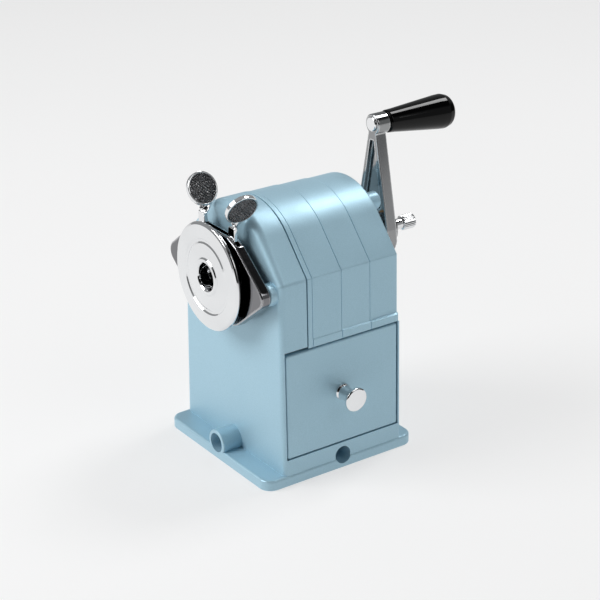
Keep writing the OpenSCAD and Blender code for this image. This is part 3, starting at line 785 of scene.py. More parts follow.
def head_loft(sizes):
    """Front head with its large arch rounding and smaller upright roundings."""
    points = arch_points(z_low=1.5, crease_round=sizes.side_round + 0.6)
    steps = 8
    radii = []
    for p in points:
        blend_up = min(1.0, max(0.0, (p.y - (AXIS_Z + 2)) / 8.0))
        radii.append(sizes.side_round + (sizes.arch_round - sizes.side_round) * blend_up)
    rings = []
    for k in range(steps + 1):
        a = k / steps * math.pi / 2
        moved = inset_points(points, [r * (1 - math.sin(a)) for r in radii])
        moved[0].y = moved[-1].y = 1.5
        rings.append([(p.x, FRONT_Y + r * (1 - math.cos(a)), p.y)
                      for p, r in zip(moved, radii)])
    rings.append(upright(points, SEAM_Y - 0.4))
    rings.append(upright(inset_points(points, 0.12), SEAM_Y - 0.28))
    return loft("body_casting_shell", rings)


class SHARPENER_OT_casting(BuildStep):
    """Build the cast base and front head."""

    bl_idname = "sharpener.casting"
    bl_label = "Body casting"

    def build(self, context):
        sizes = context.scene.sharpener_housing
        shell = head_loft(sizes)
        lean = math.tan(sizes.draft)
        top_half = HALF_W - lean * (DRAWER_TOP - FLANGE_T)
        lower = [Vector((HALF_W, 1.5)), Vector((top_half, DRAWER_TOP)),
                 Vector((-top_half, DRAWER_TOP)), Vector((-HALF_W, 1.5))]
        block = prism_y("block", lower, SEAM_Y - 1.0, REAR_Y)
        x1 = high("body_casting").x
        y0, y1 = low("body_casting").y, high("body_casting").y
        slab = prism_z("slab", corner_path([(-x1, y0, 5), (x1, y0, 5), (x1, y1, 5),
                                            (-x1, y1, 5)], steps=10), 0.0, FLANGE_T,
                       low_round=0.35, top_round=1.0)
        tube_z = low("body_casting").z + FRONT_SOCKET_Z
        tube = rod("tube", (0, y0 - 0.02, tube_z), (0, FRONT_Y + 2, tube_z), CLAMP_TUBE_R,
                   rounding=0.5)
        bosses = [rod("boss", (s * ROD_X, WING_Y[1] + 0.1, AXIS_Z),
                      (s * ROD_X, FRONT_Y + 2, AXIS_Z), GUIDE_BOSS_R, rounding=0.5)
                  for s in (-1, 1)]
        combine(shell, [block, slab, tube, *bosses], "UNION")
        bay = box("bay", low("drawer_tray").x - 0.8, 50, low("drawer_tray").y - DRAWER_GAP,
                  high("drawer_tray").y + DRAWER_GAP, DRAWER_LOW + 0.6, DRAWER_TOP + 1)
        front = box("front", low("drawer_front").x - 0.1, 50, low("drawer_front").y - DRAWER_GAP,
                    high("drawer_front").y + DRAWER_GAP, DRAWER_LOW, DRAWER_TOP + 1)
        cavity = prism_y("cavity", arch_points(inset=2.8, z_low=DRAWER_TOP - 0.5),
                         FRONT_Y + 3, SEAM_Y + 2)
        chamber = rod("chamber", (0, FRONT_Y + 3, AXIS_Z), (0, SEAM_Y + 2, AXIS_Z), CHAMBER_R,
                      rounding=0)
        keep = [rod("keep", (s * ROD_X, FRONT_Y, AXIS_Z), (s * ROD_X, SEAM_Y + 3, AXIS_Z),
                    GUIDE_BOSS_R, rounding=0) for s in (-1, 1)]
        combine(cavity, [chamber, *keep], "DIFFERENCE")
        inner = rod("inner", (0, FRONT_Y + 3, AXIS_Z), (0, SEAM_Y + 2, AXIS_Z), RING_SEAT_R,
                    rounding=0)
        mouth = rod("mouth", (0, FRONT_Y - 5, AXIS_Z), (0, FRONT_Y + 6, AXIS_Z), SLEEVE_R + 0.06,
                    rounding=0)
        socket = rod("socket", (0, y0 - 3, tube_z), (0, y0 + SOCKET_DEEP, tube_z), FRONT_SOCKET_R,
                     rounding=0)
        side = rod("side", (x1 - SOCKET_DEEP, 0, SIDE_SOCKET_Z), (x1 + 3, 0, SIDE_SOCKET_Z),
                   SIDE_SOCKET_R, rounding=0)
        bores = [rod("bore", (s * ROD_X, WING_Y[1] - 3, AXIS_Z), (s * ROD_X, SEAM_Y + 3, AXIS_Z),
                     GUIDE_R + 0.06, rounding=0) for s in (-1, 1)]
        under = box("under", -HALF_W + 4, HALF_W - 4, -22, 22, -2, 8.4)
        pillar = box("pillar", 15, 40, -6, 6, 0.9, 9)
        stump = box("stump", -6.5, 6.5, -40, -16, 0.9, 9)
        combine(under, [pillar, stump], "DIFFERENCE")
        plate = prism_z("plate", corner_path(
            [(low("base_plate").x - 0.1, low("base_plate").y - 0.1, 3),
             (high("base_plate").x + 0.1, low("base_plate").y - 0.1, 3),
             (high("base_plate").x + 0.1, high("base_plate").y + 0.1, 3),
             (low("base_plate").x - 0.1, high("base_plate").y + 0.1, 3)]), -2, 1.0)
        combine(shell, [bay, front, cavity, inner, mouth, socket, side, *bores, under, plate],
                "DIFFERENCE")
        soften(shell, sizes.edge_round)
        fit(shell, "housing", paint("blue_paint"), ["body_casting"])


class SHARPENER_OT_hood(BuildStep):
    """Build the stepped hood."""

    bl_idname = "sharpener.hood"
    bl_label = "Hood"

    def build(self, context):
        sizes = context.scene.sharpener_housing
        y0, z0 = low("hood").y, DRAWER_TOP + 0.1
        band_z = DRAWER_TOP + HOOD_BAND
        rear = REAR_Y
        panel = (rear - y0 - HOOD_LIP) / 3
        edges = [y0 + HOOD_LIP + i * panel for i in range(3)]
        stations = [(y0 + 0.14, 0, 0.14), (y0 + 0.2, 0, 0.04), (y0 + 0.3, 0, 0.0)]
        for i, y in enumerate(edges):
            stations += [(y - 0.3, i, 0.0), (y - 0.1, i, 0.06), (y, i, 0.2),
                         (y + 0.02, i + 1, 0.3), (y + 0.24, i + 1, 0.3), (y + 0.3, i + 1, 0.0)]
        rear_r = 1.0
        stations += [(rear - rear_r + rear_r * math.sin(a), 3, rear_r * (1 - math.cos(a)))
                     for a in [k * math.pi / 12 for k in range(7)]]
        lean = math.tan(sizes.draft)
        # height, how far the lower rim is drawn in, share of the panel step reached there
        levels = [(z0, 0.25, 0.0), (z0 + 0.1, 0.07, 0.0), (z0 + 0.3, 0.0, 0.0),
                  (band_z - 0.15, 0.0, 0.0), (band_z, 0.0, 0.35), (band_z + 0.25, 0.0, 1.0)]
        rings = []
        for y, steps_in, extra in stations:
            depth = steps_in * sizes.panel_step
            right = [Vector((HALF_W - lean * (z - FLANGE_T) - extra - rim - share * depth, z))
                     for z, rim, share in levels]
            left = [Vector((-p.x, p.y)) for p in reversed(right)]
            arch = arch_points(inset=depth + extra, z_low=band_z + 0.4)
            rings.append(upright(right + arch + left, y))
        shell = loft("hood_shell", rings)
        lug_tools = []
        for angle in LUG_ANGLES:
            x = LUG_OUT * math.cos(math.radians(angle))
            z = AXIS_Z + LUG_OUT * math.sin(math.radians(angle))
            lug_tools.append(rod("lug", (x, rear - 1.5, z), (x, high("hood").y, z), LUG_R,
                                 rounding=0.5))
        ring = rod("ring", (0, rear - 1.5, AXIS_Z), (0, rear + 2.2, AXIS_Z), SHAFT_R + 4,
                   rounding=0.4)
        combine(shell, [*lug_tools, ring], "UNION")
        inside = prism_y("inside", arch_points(inset=2.4, z_low=z0 - 4), y0 - 3, rear - 2.5)
        bush = rod("bush", (0, rear - 5, AXIS_Z), (0, rear + 5, AXIS_Z), SHAFT_R + 1.82, rounding=0)
        combine(shell, [inside, bush], "DIFFERENCE")
        tab = box("tab", -27, 27, low("hood_screws").y - 1.5, low("hood_screws").y + 1.9,
                  DRAWER_TOP - 7, DRAWER_TOP + 2.5)
        combine(shell, [tab], "UNION")
        fit(shell, "housing", paint("blue_paint"), ["hood"], smooth_angle=28)


class SHARPENER_OT_drawer(BuildStep):
    """Build the drawer front, tray and knob."""

    bl_idname = "sharpener.drawer"
    bl_label = "Drawer"

    def build(self, context):
        sizes = context.scene.sharpener_housing
        lean = math.tan(sizes.draft)
        lo, hi = low("drawer_front"), high("drawer_front")
        steps, r = 5, 0.7
        corners = inset_points(corner_path([(lo.y, lo.z, 1), (hi.y, lo.z, 1), (hi.y, hi.z, 1),
                                            (lo.y, hi.z, 1)], steps=5), 0.14)
        rings = []
        for k in range(2):
            rings.append([(lo.x + 0.02 + k * 0.3, p.x, p.y)
                          for p in inset_points(corners, 0.3 * (1 - k))])
        for k in range(steps, -1, -1):
            a = k / steps * math.pi / 2
            ring = []
            for p in inset_points(corners, r * (1 - math.sin(a))):
                outer = HALF_W - lean * (p.y - FLANGE_T)
                ring.append((outer - r * (1 - math.cos(a)), p.x, p.y))
            rings.append(ring)
        panel = loft("drawer_front_panel", rings)
        fit(panel, "drawer", paint("blue_paint"), ["drawer_front"])
        self.tray()
        self.knob()

    def tray(self):
        """The sheet tray, a box with a thin wall."""
        lo, hi = low("drawer_tray"), high("drawer_tray")
        bend = TRAY_WALL + 1.1
        outer = corner_path([(lo.x, lo.y, bend), (hi.x, lo.y, bend), (hi.x, hi.y, bend),
                             (lo.x, hi.y, bend)], steps=6)
        wall = TRAY_WALL
        rings = [[(p.x, p.y, lo.z) for p in inset_points(outer, 1.0)],
                 [(p.x, p.y, lo.z + 0.3) for p in inset_points(outer, 0.3)],
                 [(p.x, p.y, lo.z + 1.0) for p in outer],
                 [(p.x, p.y, hi.z - 0.3) for p in outer],
                 [(p.x, p.y, hi.z) for p in inset_points(outer, 0.3)],
                 [(p.x, p.y, hi.z) for p in inset_points(outer, wall - 0.3)],
                 [(p.x, p.y, hi.z - 0.3) for p in inset_points(outer, wall)],
                 [(p.x, p.y, lo.z + wall + 0.8) for p in inset_points(outer, wall)],
                 [(p.x, p.y, lo.z + wall + 0.2) for p in inset_points(outer, wall + 0.25)],
                 [(p.x, p.y, lo.z + wall) for p in inset_points(outer, wall + 0.9)]]
        tray = loft("drawer_tray_sheet", rings)
        fit(tray, "drawer", paint("tray_steel"), ["drawer_tray"])

    def knob(self):
        """The turned mushroom knob."""
        lo, hi = low("drawer_knob"), high("drawer_knob")
        r = (hi.z - lo.z) / 2
        face = hi.x
        root = face - KNOB_OUT
        knob = turned("drawer_knob_turned", [
            (0, root - 3.5, 0), (1.45, root - 3.5, 0), (1.45, root + 0.02, 0),
            (3.3, root + 0.02, 0), (3.3, root + 0.7, 0.25), (2.75, root + 1.4, 0.4),
            (2.6, face - 4.2, 1.5), (3.0, face - 3.0, 0.8), (r - 0.5, face - 1.9, 0.7),
            (r, face - 1.2, 0.4), (r, face - 0.3, 0.35), (r - 0.5, face, 0.3), (0, face, 0)],
            axis="X", closed=False)
        shift(knob, (0, 0, middle("drawer_knob").z))
        fit(knob, "drawer", paint("chrome_plate"), ["drawer_knob"])


def wing_points():
    """Outline of the wing body: a lozenge with round ends."""
    x = ROD_X
    corners = [(x + 2.9, 4.6, 0), (14.6, 15.4, 2.2), (9, 17.8, 3), (-9, 17.8, 3),
               (-14.6, 15.4, 2.2), (-x - 2.9, 4.6, 0)]
    low_side = [(-x - 2.9, -4.6, 0), (-14.6, -15.4, 2.2), (-6, -19, 3), (6, -19, 3),
                (14.6, -15.4, 2.2), (x + 2.9, -4.6, 0)]
    tip = [Vector((x + WING_TIP_R * math.cos(a), WING_TIP_R * math.sin(a)))
           for a in [math.radians(d) for d in range(-50, 51, 10)]]
    points = tip + corner_path(corners, closed=False, steps=5)[1:-1]
    points += [Vector((-p.x, p.y)) for p in reversed(tip)]
    points += corner_path(low_side, closed=False, steps=5)[1:-1]
    return [Vector((p.x, p.y + AXIS_Z)) for p in points]


class SHARPENER_OT_chuck(BuildStep):
    """Build the face disc, wing body and springs."""

    bl_idname = "sharpener.chuck"
    bl_label = "Chuck"

    def build(self, context):
        sizes = context.scene.sharpener_chuck
        y, r = DISC_Y, (high("chuck_disc").z - low("chuck_disc").z) / 2
        g = sizes.groove_r
        disc = turned("chuck_face_disc", [
            (PENCIL_R, y + 0.6, 0.2), (5.7, y + 0.05, 0.3), (6.9, y, 0.4), (7.4, y + 0.55, 0.2),
            (g - 1.2, y + 0.6, 0.3), (g - 0.5, y + 0.95, 0.25), (g + 0.35, y + 0.95, 0.25),
            (g + 0.9, y + 0.45, 0.3), (r - 1.1, y + 0.35, 0.8), (r - 0.25, y + 0.8, 0.4),
            (r, y + 1.3, 0.3), (r, y + 1.9, 0.3), (9, y + 2.0, 0.2), (9, WING_Y[0] - 0.02, 0),
            (PENCIL_R, WING_Y[0] - 0.02, 0)], z=AXIS_Z, segments=144)
        fit(disc, "chuck", paint("chrome_plate"), ["chuck_disc"])
        wing = prism_y("chuck_wing_body", wing_points(), *WING_Y, rounding=0.7)
        slot = [Vector(p) for p in ((-9.5, -16.4), (9.5, -16.4), (14.2, -12.8), (14.2, 25),
                                    (-14.2, 25), (-14.2, -12.8))]
        pocket = prism_y("pocket", [Vector((p.x, p.y + AXIS_Z)) for p in slot],
                         WING_Y[0] + 1.2, WING_Y[1] - 1.2)
        hole = rod("hole", (0, WING_Y[0] - 2, AXIS_Z), (0, WING_Y[0] + 2, AXIS_Z), PENCIL_R,
                   rounding=0)
        back = rod("back", (0, WING_Y[1] - 2, AXIS_Z), (0, WING_Y[1] + 2, AXIS_Z), SLEEVE_R + 0.02,
                   rounding=0)
        bores = [rod("bore", (s * ROD_X, WING_Y[0] + 1, AXIS_Z), (s * ROD_X, WING_Y[1] + 2, AXIS_Z),
                     GUIDE_R + 0.02, rounding=0) for s in (-1, 1)]
        combine(wing, [pocket, hole, back, *bores], "DIFFERENCE")
        # Dark chrome: painted dark reflection with painted edge highlights.
        fit(wing, "chuck", paint("dark_polish"), ["chuck_body"])
        for s, side in ((-1, "left"), (1, "right")):
            self.spring(s, side, sizes.coil_turns)

    def spring(self, s, side, turns):
        """A coil that stretches between the housing and the chuck."""
        node = f"rod_spring_{side}"
        lo, hi = low(node), high(node)
        wire = 0.3
        r = (hi.z - lo.z) / 2 - wire
        per_turn, around = 28, 10
        rings = []
        total = turns * per_turn
        for i in range(total + 1):
            t = i / total
            a = 2 * math.pi * turns * t
            centre = Vector((r * math.cos(a), lo.y + wire + (hi.y - lo.y - 2 * wire) * t,
                             r * math.sin(a)))
            out = Vector((math.cos(a), 0, math.sin(a)))
            ring = [centre + out * wire * math.cos(b) + Vector((0, wire * math.sin(b), 0))
                    for b in [2 * math.pi * k / around for k in range(around)]]
            rings.append([(p.x + s * ROD_X, p.y, p.z + AXIS_Z) for p in ring])
        coil = loft(f"return_spring_{side}", rings)
        mesh = coil.data
        mesh.polygons.foreach_set("use_smooth", [True] * len(mesh.polygons))
        mesh.materials.append(paint("spring_steel"))
        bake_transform(coil)
        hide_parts(node)


def hatched_face(name, radius, pitch, depth):
    """A round face about Z with diamond crosshatching, closed by a thin body below it."""
    rings, segments = 34, 180
    edge = radius - 0.3

    def height(u, v):
        if math.hypot(u, v) > edge:
            return 0.0
        cut = 0.0
        for d in ((u + v) / math.sqrt(2), (u - v) / math.sqrt(2)):
            off = abs((d / pitch + 0.5) % 1.0 - 0.5) * pitch
            cut = max(cut, 1 - off / (pitch * 0.3))
        return -depth * cut

    verts, rows = [], []
    for i in range(rings + 1):
        r = radius * i / rings
        if i == 0:
            verts.append((0, 0, height(0, 0)))
            rows.append([0] * segments)
            continue
        rows.append(list(range(len(verts), len(verts) + segments)))
        for k in range(segments):
            t = 2 * math.pi * k / segments
            u, v = r * math.cos(t), r * math.sin(t)
            verts.append((u, v, height(u, v) if i < rings else 0.0))
    rows.append(list(range(len(verts), len(verts) + segments)))
    verts += [(radius * math.cos(2 * math.pi * k / segments),
               radius * math.sin(2 * math.pi * k / segments), -0.45) for k in range(segments)]
    rows.append([len(verts)] * segments)
    verts.append((0, 0, -0.45))
    obj = new_object(name, verts, strip_faces(rows, segments))
    fix_normals(obj)
    return obj


def boxy(value):
    """Swells a sine or cosine, so that a round section comes nearer to a rectangle."""
    return math.copysign(abs(value) ** 0.7, value)


class SHARPENER_OT_levers(BuildStep):
    """Build the two pinch levers."""

    bl_idname = "sharpener.levers"
    bl_label = "Pinch levers"

    def build(self, context):
        sizes = context.scene.sharpener_chuck
        for s, side in ((-1, "left"), (1, "right")):
            node = f"lever_{side}"
            y0, y1 = WING_Y[0] + 1.35, WING_Y[1] - 1.35
            neck_x, neck_z = PIN_X + 0.6, 21.6
            outline = [(neck_x - 2, neck_z, 0.5), (PIN_X - 2.4, PIN_Z, 1.5),
                       (PIN_X - 2.2, 8, 1.0), (3.2, 2.4, 0.5), (3.2, -2.4, 0.5),
                       (4.6, -3.4, 0.5), (PIN_X + 1, 3, 1.5), (PIN_X + 2.4, PIN_Z, 1.5),
                       (neck_x + 2, neck_z, 0.5)]
            path = [Vector((s * p.x, p.y + AXIS_Z)) for p in corner_path(outline, steps=4)]
            blade = prism_y(f"{node}_blade", path, y0, y1, rounding=0.25)
            mid = (y0 + y1) / 2
            pad_centre = Vector((s * PAD_X, mid + 1.9, AXIS_Z + PAD_Z))
            aim = (Matrix.Rotation(math.radians(s * PAD_TURN), 4, "Z")
                   @ Matrix.Rotation(math.radians(s * PAD_TILT), 4, "Y"))
            inner = PAD_R - 0.65
            pad = turned(f"{node}_pad", [
                (0, -0.45, 0), (inner, -0.45, 0), (inner, -0.9, 0.12), (PAD_R, -0.9, 0.4),
                (PAD_R, 0.9, 0.4), (inner, 0.9, 0.12), (inner, 0.45, 0), (0, 0.45, 0)],
                closed=False, axis="Z", segments=120)
            turn(pad, aim)
            shift(pad, pad_centre)
            faces = []
            for flip in (0, math.pi):
                face = hatched_face(f"{node}_hatch", inner - 0.03, sizes.hatch_pitch,
                                    sizes.hatch_depth)
                shift(face, (0, 0, 0.9))
                turn(face, aim @ Matrix.Rotation(flip, 4, "X"))
                faces.append(shift(face, pad_centre))
            hatch = join(f"pinch_{node}_hatch", faces)
            body = f"{side}_lever"
            # Hatched pad faces: painted dark reflection with painted highlights on the ridges.
            fit(hatch, body, paint("dark_knurl"), smooth_angle=12)
            neck = self.neck(node, Vector((s * neck_x, mid, AXIS_Z + neck_z - 1.2)),
                             pad_centre, aim, y1 - y0)
            lever = join(f"pinch_{node}", [blade, neck, pad])
            fit(lever, body, paint("chrome_plate"), [node], smooth_angle=30)

    def neck(self, node, start, pad_centre, aim, width):
        """A twisted neck that runs from the blade into the pad's rim."""
        up = (aim.to_3x3() @ Vector((1, 0, 0)))
        if up.z < 0:
            up = -up
        end = pad_centre - up * 5.6
        pad_normal = aim.to_3x3() @ Vector((0, 0, 1))
        rings = []
        steps, around = 14, 20
        for i in range(steps + 1):
            t = i / steps
            ease = t * t * (3 - 2 * t)
            centre = start.lerp(end, t)
            wide_dir = Vector((1, 0, 0)).lerp(pad_normal.cross(up).normalized(),
                                              ease).normalized()
            thin_dir = Vector((0, 1, 0)).lerp(pad_normal, ease)
            thin_dir = (thin_dir - wide_dir * thin_dir.dot(wide_dir)).normalized()
            wide = 2.0 + 0.9 * ease ** 2 - 0.3 * math.sin(math.pi * t)
            thin = (width / 2) * (1 - ease) + 0.85 * ease
            rings.append([centre + wide_dir * wide * boxy(math.cos(a))
                          + thin_dir * thin * boxy(math.sin(a))
                          for a in [2 * math.pi * k / around for k in range(around)]])
        return loft(f"{node}_neck", rings)


def droop(obj):
    """Tilts a piece turned about the Y axis onto the drooping handle axis."""
    shift(obj, (0, -HANDLE_Y, 0))
    turn(obj, Matrix.Rotation(-math.radians(HANDLE_DROOP), 4, "X"))
    return shift(obj, (0, HANDLE_Y, AXIS_Z + CRANK_LEN))


class SHARPENER_OT_crank(BuildStep):
    """Build the crank arm, its axle and the handle."""

    bl_idname = "sharpener.crank"
    bl_label = "Crank"

    def build(self, context):
        self.arm()
        self.handle()
        self.adjuster()

    def arm(self):
        """The cast arm with its hub, its eye and the web sunk into its back."""
        foot, head, top = ARM_FOOT_R, ARM_HEAD_R, CRANK_LEN

        def outline(inset):
            low_w, high_w = 10.0 - inset, 2.45 - inset
            points = [Vector(((foot - inset) * math.cos(a), (foot - inset) * math.sin(a)))
                      for a in [math.radians(d) for d in range(190, 351, 8)]]
            points += corner_path([(foot - inset, -1.0, 0), (low_w, 3, 2), (high_w, top - 3.2, 3),
                                   ((head - inset) * 0.8, top - 2.2, 0)], closed=False)[1:-1]
            points += [Vector(((head - inset) * math.cos(a), top + (head - inset) * math.sin(a)))
                       for a in [math.radians(d) for d in range(-40, 221, 13)]]
            points += corner_path([(-(head - inset) * 0.8, top - 2.2, 0), (-high_w, top - 3.2, 3),
                                   (-low_w, 3, 2), (-(foot - inset), -1.0, 0)],
                                  closed=False)[1:-1]
            return [Vector((p.x, p.y + AXIS_Z)) for p in points]

        arm = prism_y("crank_arm_cast", outline(0), ARM_Y, ARM_Y + ARM_T, rounding=0.6)
        hub = rod("hub", (0, REAR_Y + 4.4, AXIS_Z), (0, ARM_Y + 8.8, AXIS_Z), 6.3, rounding=0.6)
        eye = rod("eye", (0, ARM_Y, AXIS_Z + top), (0, HANDLE_Y - 0.4, AXIS_Z + top), head,
                  rounding=0.5)
        combine(arm, [hub, eye], "UNION")

        def web(inset):
            points = corner_path([(-6.2 + inset, 11, 1.2), (6.2 - inset, 11, 1.2),
                                  (1.15, top - 6.2, 0.6), (-1.15, top - 6.2, 0.6)])
            return [Vector((p.x, p.y + AXIS_Z)) for p in points]

        cut = loft("cut", [upright(web(0), ARM_Y - 1), upright(web(0), ARM_Y),
                           upright(web(0.5), ARM_Y + 1.6)])
        bore = rod("bore", (0, REAR_Y, AXIS_Z), (0, ARM_Y + 12, AXIS_Z), SHAFT_R + 0.02,
                   rounding=0)
        eye_bore = turned("eye_bore", [(0, ARM_Y - 3, 0), (3.0, ARM_Y - 3, 0), (3.0, ARM_Y, 0),
                                       (AXLE_R + 0.02, ARM_Y, 0),
                                       (AXLE_R + 0.02, ARM_Y + 12, 0),
                                       (0, ARM_Y + 12, 0)], closed=False, segments=64)
        droop(eye_bore)
        combine(arm, [cut, bore, eye_bore], "DIFFERENCE")
        # Dark chrome: painted dark reflection with painted edge highlights.
        fit(arm, "crank", paint("arm_polish"), ["crank_arm"])
        end = HANDLE_Y + 23.5
        axle = turned("crank_axle_turned", [
            (0, ARM_Y - 0.7, 0), (2.5, ARM_Y - 0.7, 0.3), (2.9, ARM_Y - 0.35, 0.2),
            (2.9, ARM_Y - 0.02, 0), (AXLE_R, ARM_Y - 0.02, 0), (AXLE_R, end, 0.3),
            (0, end, 0)], closed=False, segments=64)
        droop(axle)
        fit(axle, "crank", paint("chrome_plate"), ["crank_axle"])

    def handle(self):
        """The tapered handle, turned with its bore."""
        y0, y1, r = HANDLE_Y, HANDLE_Y + HANDLE_LEN, HANDLE_R
        bore = AXLE_R + 0.06
        shape = [(bore, y0, 0), (3.9, y0, 0.3), (4.4, y0 + 0.5, 0.5), (4.62, y0 + 3.5, 6.0),
                 (r - 0.12, y1 - 6.8, 8.0), (r, y1 - 4.4, 2.0), (r - 0.7, y1 - 1.7, 2.6),
                 (r - 3.6, y1 - 0.25, 3.0), (0, y1, 0), (0, y1 - 7.6, 0), (bore, y1 - 7.6, 0)]
        handle = turned("crank_handle_turned", shape, segments=128, steps=8)
        droop(handle)
        fit(handle, "crank_handle", paint("black_handle"), ["handle"],
            smooth_angle=40)

    def adjuster(self):
        """The fluted knob on the end of the shaft."""
        lo, hi = low("adjust_knob"), high("adjust_knob")
        r = (hi.z - lo.z) / 2
        y0, y1 = lo.y, hi.y
        segments, teeth = 216, 24
        profile = corner_path([(2.2, y0, 0.2), (2.2, y1 - 6.2, 0), (r - 0.35, y1 - 6.0, 0.15),
                               (r, y1 - 5.6, 0.1), (r, y1 - 0.5, 0.1), (r - 0.4, y1, 0.2),
                               (0.0, y1, 0)], closed=False, steps=3)
        verts, rows = [(0, y0, 0)], [[0] * segments]
        for p in profile:
            if p.x < 1e-6:
                rows.append([len(verts)] * segments)
                verts.append((0, p.y, 0))
                continue
            row = []
            for k in range(segments):
                t = 2 * math.pi * k / segments
                wave = abs(math.sin(teeth * t / 2))
                cut = 0.22 * (1 - wave) if p.x > r - 0.2 else 0.0
                row.append(len(verts))
                verts.append(((p.x - cut) * math.cos(t), p.y, (p.x - cut) * math.sin(t)))
            rows.append(row)
        knob = new_object("point_adjuster_knob", verts, strip_faces(rows, segments))
        fix_normals(knob)
        shift(knob, (0, 0, AXIS_Z))
        fit(knob, "adjuster", paint("chrome_plate"), ["adjust_knob"],
            smooth_angle=25)


class SHARPENER_OT_inner_pieces(BuildStep):
    """Give the carried-over inner pieces their finishes and build the helical cutter."""

    bl_idname = "sharpener.inner_pieces"
    bl_label = "Inner pieces"

    def build(self, context):
        shown = {n["node"]: n["material_slot"] for n in frame["record"]["subparts"]}
        for node, obj in frame["nodes"].items():
            obj.data.materials.clear()
            obj.data.materials.append(paint(shown[node]))
        self.cutter()

    def cutter(self):
        """A helical milling cutter on its leaning axle."""
        tilt = math.radians(CUTTER_TILT)
        flutes, r, levels = 12, CUTTER_R, 30
        rings = []
        for i in range(levels + 1):
            t = i / levels
            ring = []
            for f in range(flutes):
                for share, rr in ((0.0, r), (0.04, r - 0.05), (0.18, r - 1.0), (0.62, r - 0.9)):
                    a = 2 * math.pi * (f + share) / flutes + t * 1.25
                    ring.append((rr * math.cos(a), rr * math.sin(a), 7.4 + t * CUTTER_LEN))
            rings.append(ring)
        body = loft("cutter_helical", rings)
        turn(body, Matrix.Rotation(math.radians(-90) - tilt, 4, "X"))
        shift(body, (0, -20.5, AXIS_Z + 11.5))
        fit(body, "cutter_shaft", paint("cutter_steel"), ["cutter"])


# Dark parts of the surroundings: direction, cosines where the dark is full and where it
# ends, and the light that is left there
DARK_SPOTS = (((0.75, -0.52, 0.41), 0.86, 0.62, 0.02),
              ((0.35, 0.5, 0.8), 0.97, 0.9, 0.1),
              ((0.3, 0.95, 0.05), 0.95, 0.88, 0.15))


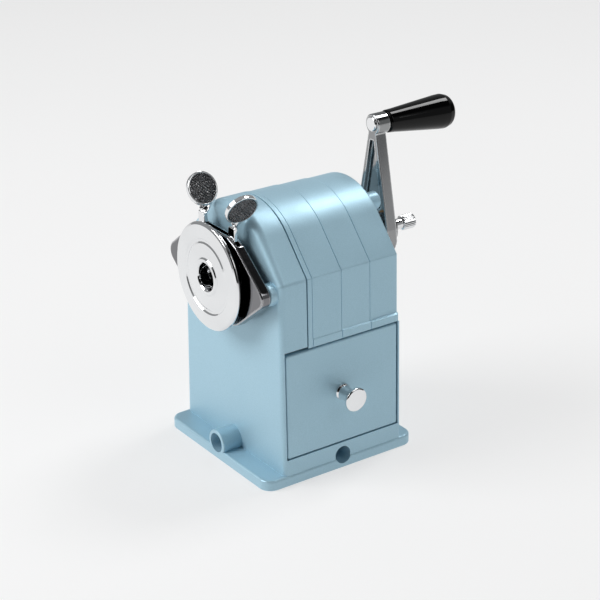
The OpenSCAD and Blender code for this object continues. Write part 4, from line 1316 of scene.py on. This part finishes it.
class SHARPENER_OT_stage(BuildStep):
    """Build the floor, lights and camera."""

    bl_idname = "sharpener.stage"
    bl_label = "Stage"

    def build(self, context):
        s = context.scene.sharpener_stage
        self.floor()
        self.lights(s.light)
        self.camera(s)

    def floor(self):
        """A pale sheet that runs on behind the object."""
        mesh = bpy.data.meshes.new("floor")
        size = 3.0
        mesh.from_pydata([(-size, -size, 0), (size, -size, 0), (size, size, 0), (-size, size, 0)],
                         [], [(0, 1, 2, 3)])
        floor = bpy.data.objects.new("floor", mesh)
        bpy.context.scene.collection.objects.link(floor)
        material, tree, shader = finish("floor_paper", 0.0)
        noise = placed(tree, "Surface_Grain", Cloud_Scale=3.0, Fine_Scale=900.0)
        tint = mixed(tree, spread(tree, noise.outputs["Cloud"], 0.0, 1.0), (0.34, 0.34, 0.34),
                     (0.35, 0.35, 0.35))
        shader.inputs["Emission Color"].default_value = (1.0, 1.0, 1.0, 1.0)
        shader.inputs["Emission Strength"].default_value = 0.585
        tree.links.new(tint, shader.inputs["Base Color"])
        shader.inputs["Roughness"].default_value = 0.9
        shader.inputs["Specular IOR Level"].default_value = 0.1
        mesh.materials.append(material)

    def area(self, name, place, target, size, power):
        """A soft box aimed at a target, its size in metres and its power in watts."""
        light = bpy.data.lights.new(name, "AREA")
        light.shape = "RECTANGLE"
        light.size, light.size_y = size
        light.energy = power
        obj = bpy.data.objects.new(name, light)
        bpy.context.scene.collection.objects.link(obj)
        obj.location = place
        aim = (Vector(target) - Vector(place)).to_track_quat("-Z", "Y")
        obj.rotation_euler = aim.to_euler()

    def lights(self, strength):
        """A dim white tent with a dark side behind the viewer, and large soft boxes."""
        world = bpy.data.worlds.new("studio")
        bpy.context.scene.world = world
        world.use_nodes = True
        tree = world.node_tree
        back = tree.nodes["Background"]
        where = tree.nodes.new("ShaderNodeTexCoord")
        shade = None
        for spot, inner, outer, dark in DARK_SPOTS:
            dot = tree.nodes.new("ShaderNodeVectorMath")
            dot.operation = "DOT_PRODUCT"
            tree.links.new(where.outputs["Generated"], dot.inputs[0])
            dot.inputs[1].default_value = Vector(spot).normalized()
            ramp = tree.nodes.new("ShaderNodeMapRange")
            ramp.inputs["From Min"].default_value = outer
            ramp.inputs["From Max"].default_value = inner
            ramp.inputs["To Min"].default_value = 1.0
            ramp.inputs["To Max"].default_value = dark
            tree.links.new(dot.outputs["Value"], ramp.inputs["Value"])
            value = ramp.outputs["Result"]
            shade = value if shade is None else math_node(tree, "MULTIPLY", shade, value)
        tree.links.new(math_node(tree, "MULTIPLY", shade, 0.3 * strength),
                       back.inputs["Strength"])
        back.inputs["Color"].default_value = (0.97, 0.985, 1.0, 1.0)
        target = (0, 0, 0.06)
        self.area("top_box", (-0.06, 0.58, 0.98), (0, 0.06, 0.12), (0.34, 0.34),
                  4.4 * strength)
        self.area("key", (-0.35, -0.8, 0.7), target, (0.6, 0.6), 7.5 * strength)
        self.area("fill", (0.75, 0.25, 0.75), target, (0.5, 0.5), 1.3 * strength)

    def camera(self, s):
        """The camera, aimed by its azimuth, elevation and roll."""
        data = bpy.data.cameras.new("view")
        data.lens = s.lens
        data.sensor_width = 36.0
        data.clip_end = 10.0
        cam = bpy.data.objects.new("view", data)
        bpy.context.scene.collection.objects.link(cam)
        a, e = s.azimuth, s.elevation
        forward = Vector((-math.sin(a) * math.cos(e), math.cos(a) * math.cos(e), -math.sin(e)))
        right = Vector((math.cos(a), math.sin(a), 0))
        up = right.cross(forward)
        basis = Matrix((right, up, -forward)).transposed().to_4x4()
        spin = Matrix.Rotation(s.roll, 4, "Z")
        cam.matrix_world = Matrix.Translation(CAMERA_PLACE) @ basis @ spin
        bpy.context.scene.camera = cam
        bpy.context.scene.view_settings.view_transform = "Standard"


STEPS = (SHARPENER_OT_finishes, SHARPENER_OT_inner_pieces, SHARPENER_OT_casting,
         SHARPENER_OT_hood, SHARPENER_OT_drawer, SHARPENER_OT_chuck, SHARPENER_OT_levers,
         SHARPENER_OT_crank, SHARPENER_OT_stage)
GROUPS = (HousingSizes, ChuckSizes, FinishColours, StageSettings)


class SHARPENER_PT_panel(bpy.types.Panel):
    """Lists the building steps in the sidebar."""

    bl_idname = "SHARPENER_PT_panel"
    bl_label = "Pencil Sharpener"
    bl_space_type = "VIEW_3D"
    bl_region_type = "UI"
    bl_category = "Sharpener"

    def draw(self, context):
        for step in STEPS:
            self.layout.operator(step.bl_idname)


def register():
    for group in GROUPS:
        bpy.utils.register_class(group)
    for step in STEPS:
        bpy.utils.register_class(step)
    bpy.utils.register_class(SHARPENER_PT_panel)
    scene = bpy.types.Scene
    scene.sharpener_housing = PointerProperty(type=HousingSizes)
    scene.sharpener_chuck = PointerProperty(type=ChuckSizes)
    scene.sharpener_finish = PointerProperty(type=FinishColours)
    scene.sharpener_stage = PointerProperty(type=StageSettings)


def unregister():
    scene = bpy.types.Scene
    for name in ("sharpener_housing", "sharpener_chuck", "sharpener_finish", "sharpener_stage"):
        delattr(scene, name)
    bpy.utils.unregister_class(SHARPENER_PT_panel)
    for step in reversed(STEPS):
        bpy.utils.unregister_class(step)
    for group in reversed(GROUPS):
        bpy.utils.unregister_class(group)


def main():
    register()
    for step in STEPS:
        area, name = step.bl_idname.split(".")
        getattr(getattr(bpy.ops, area), name)()


if __name__ == "__main__":
    main()
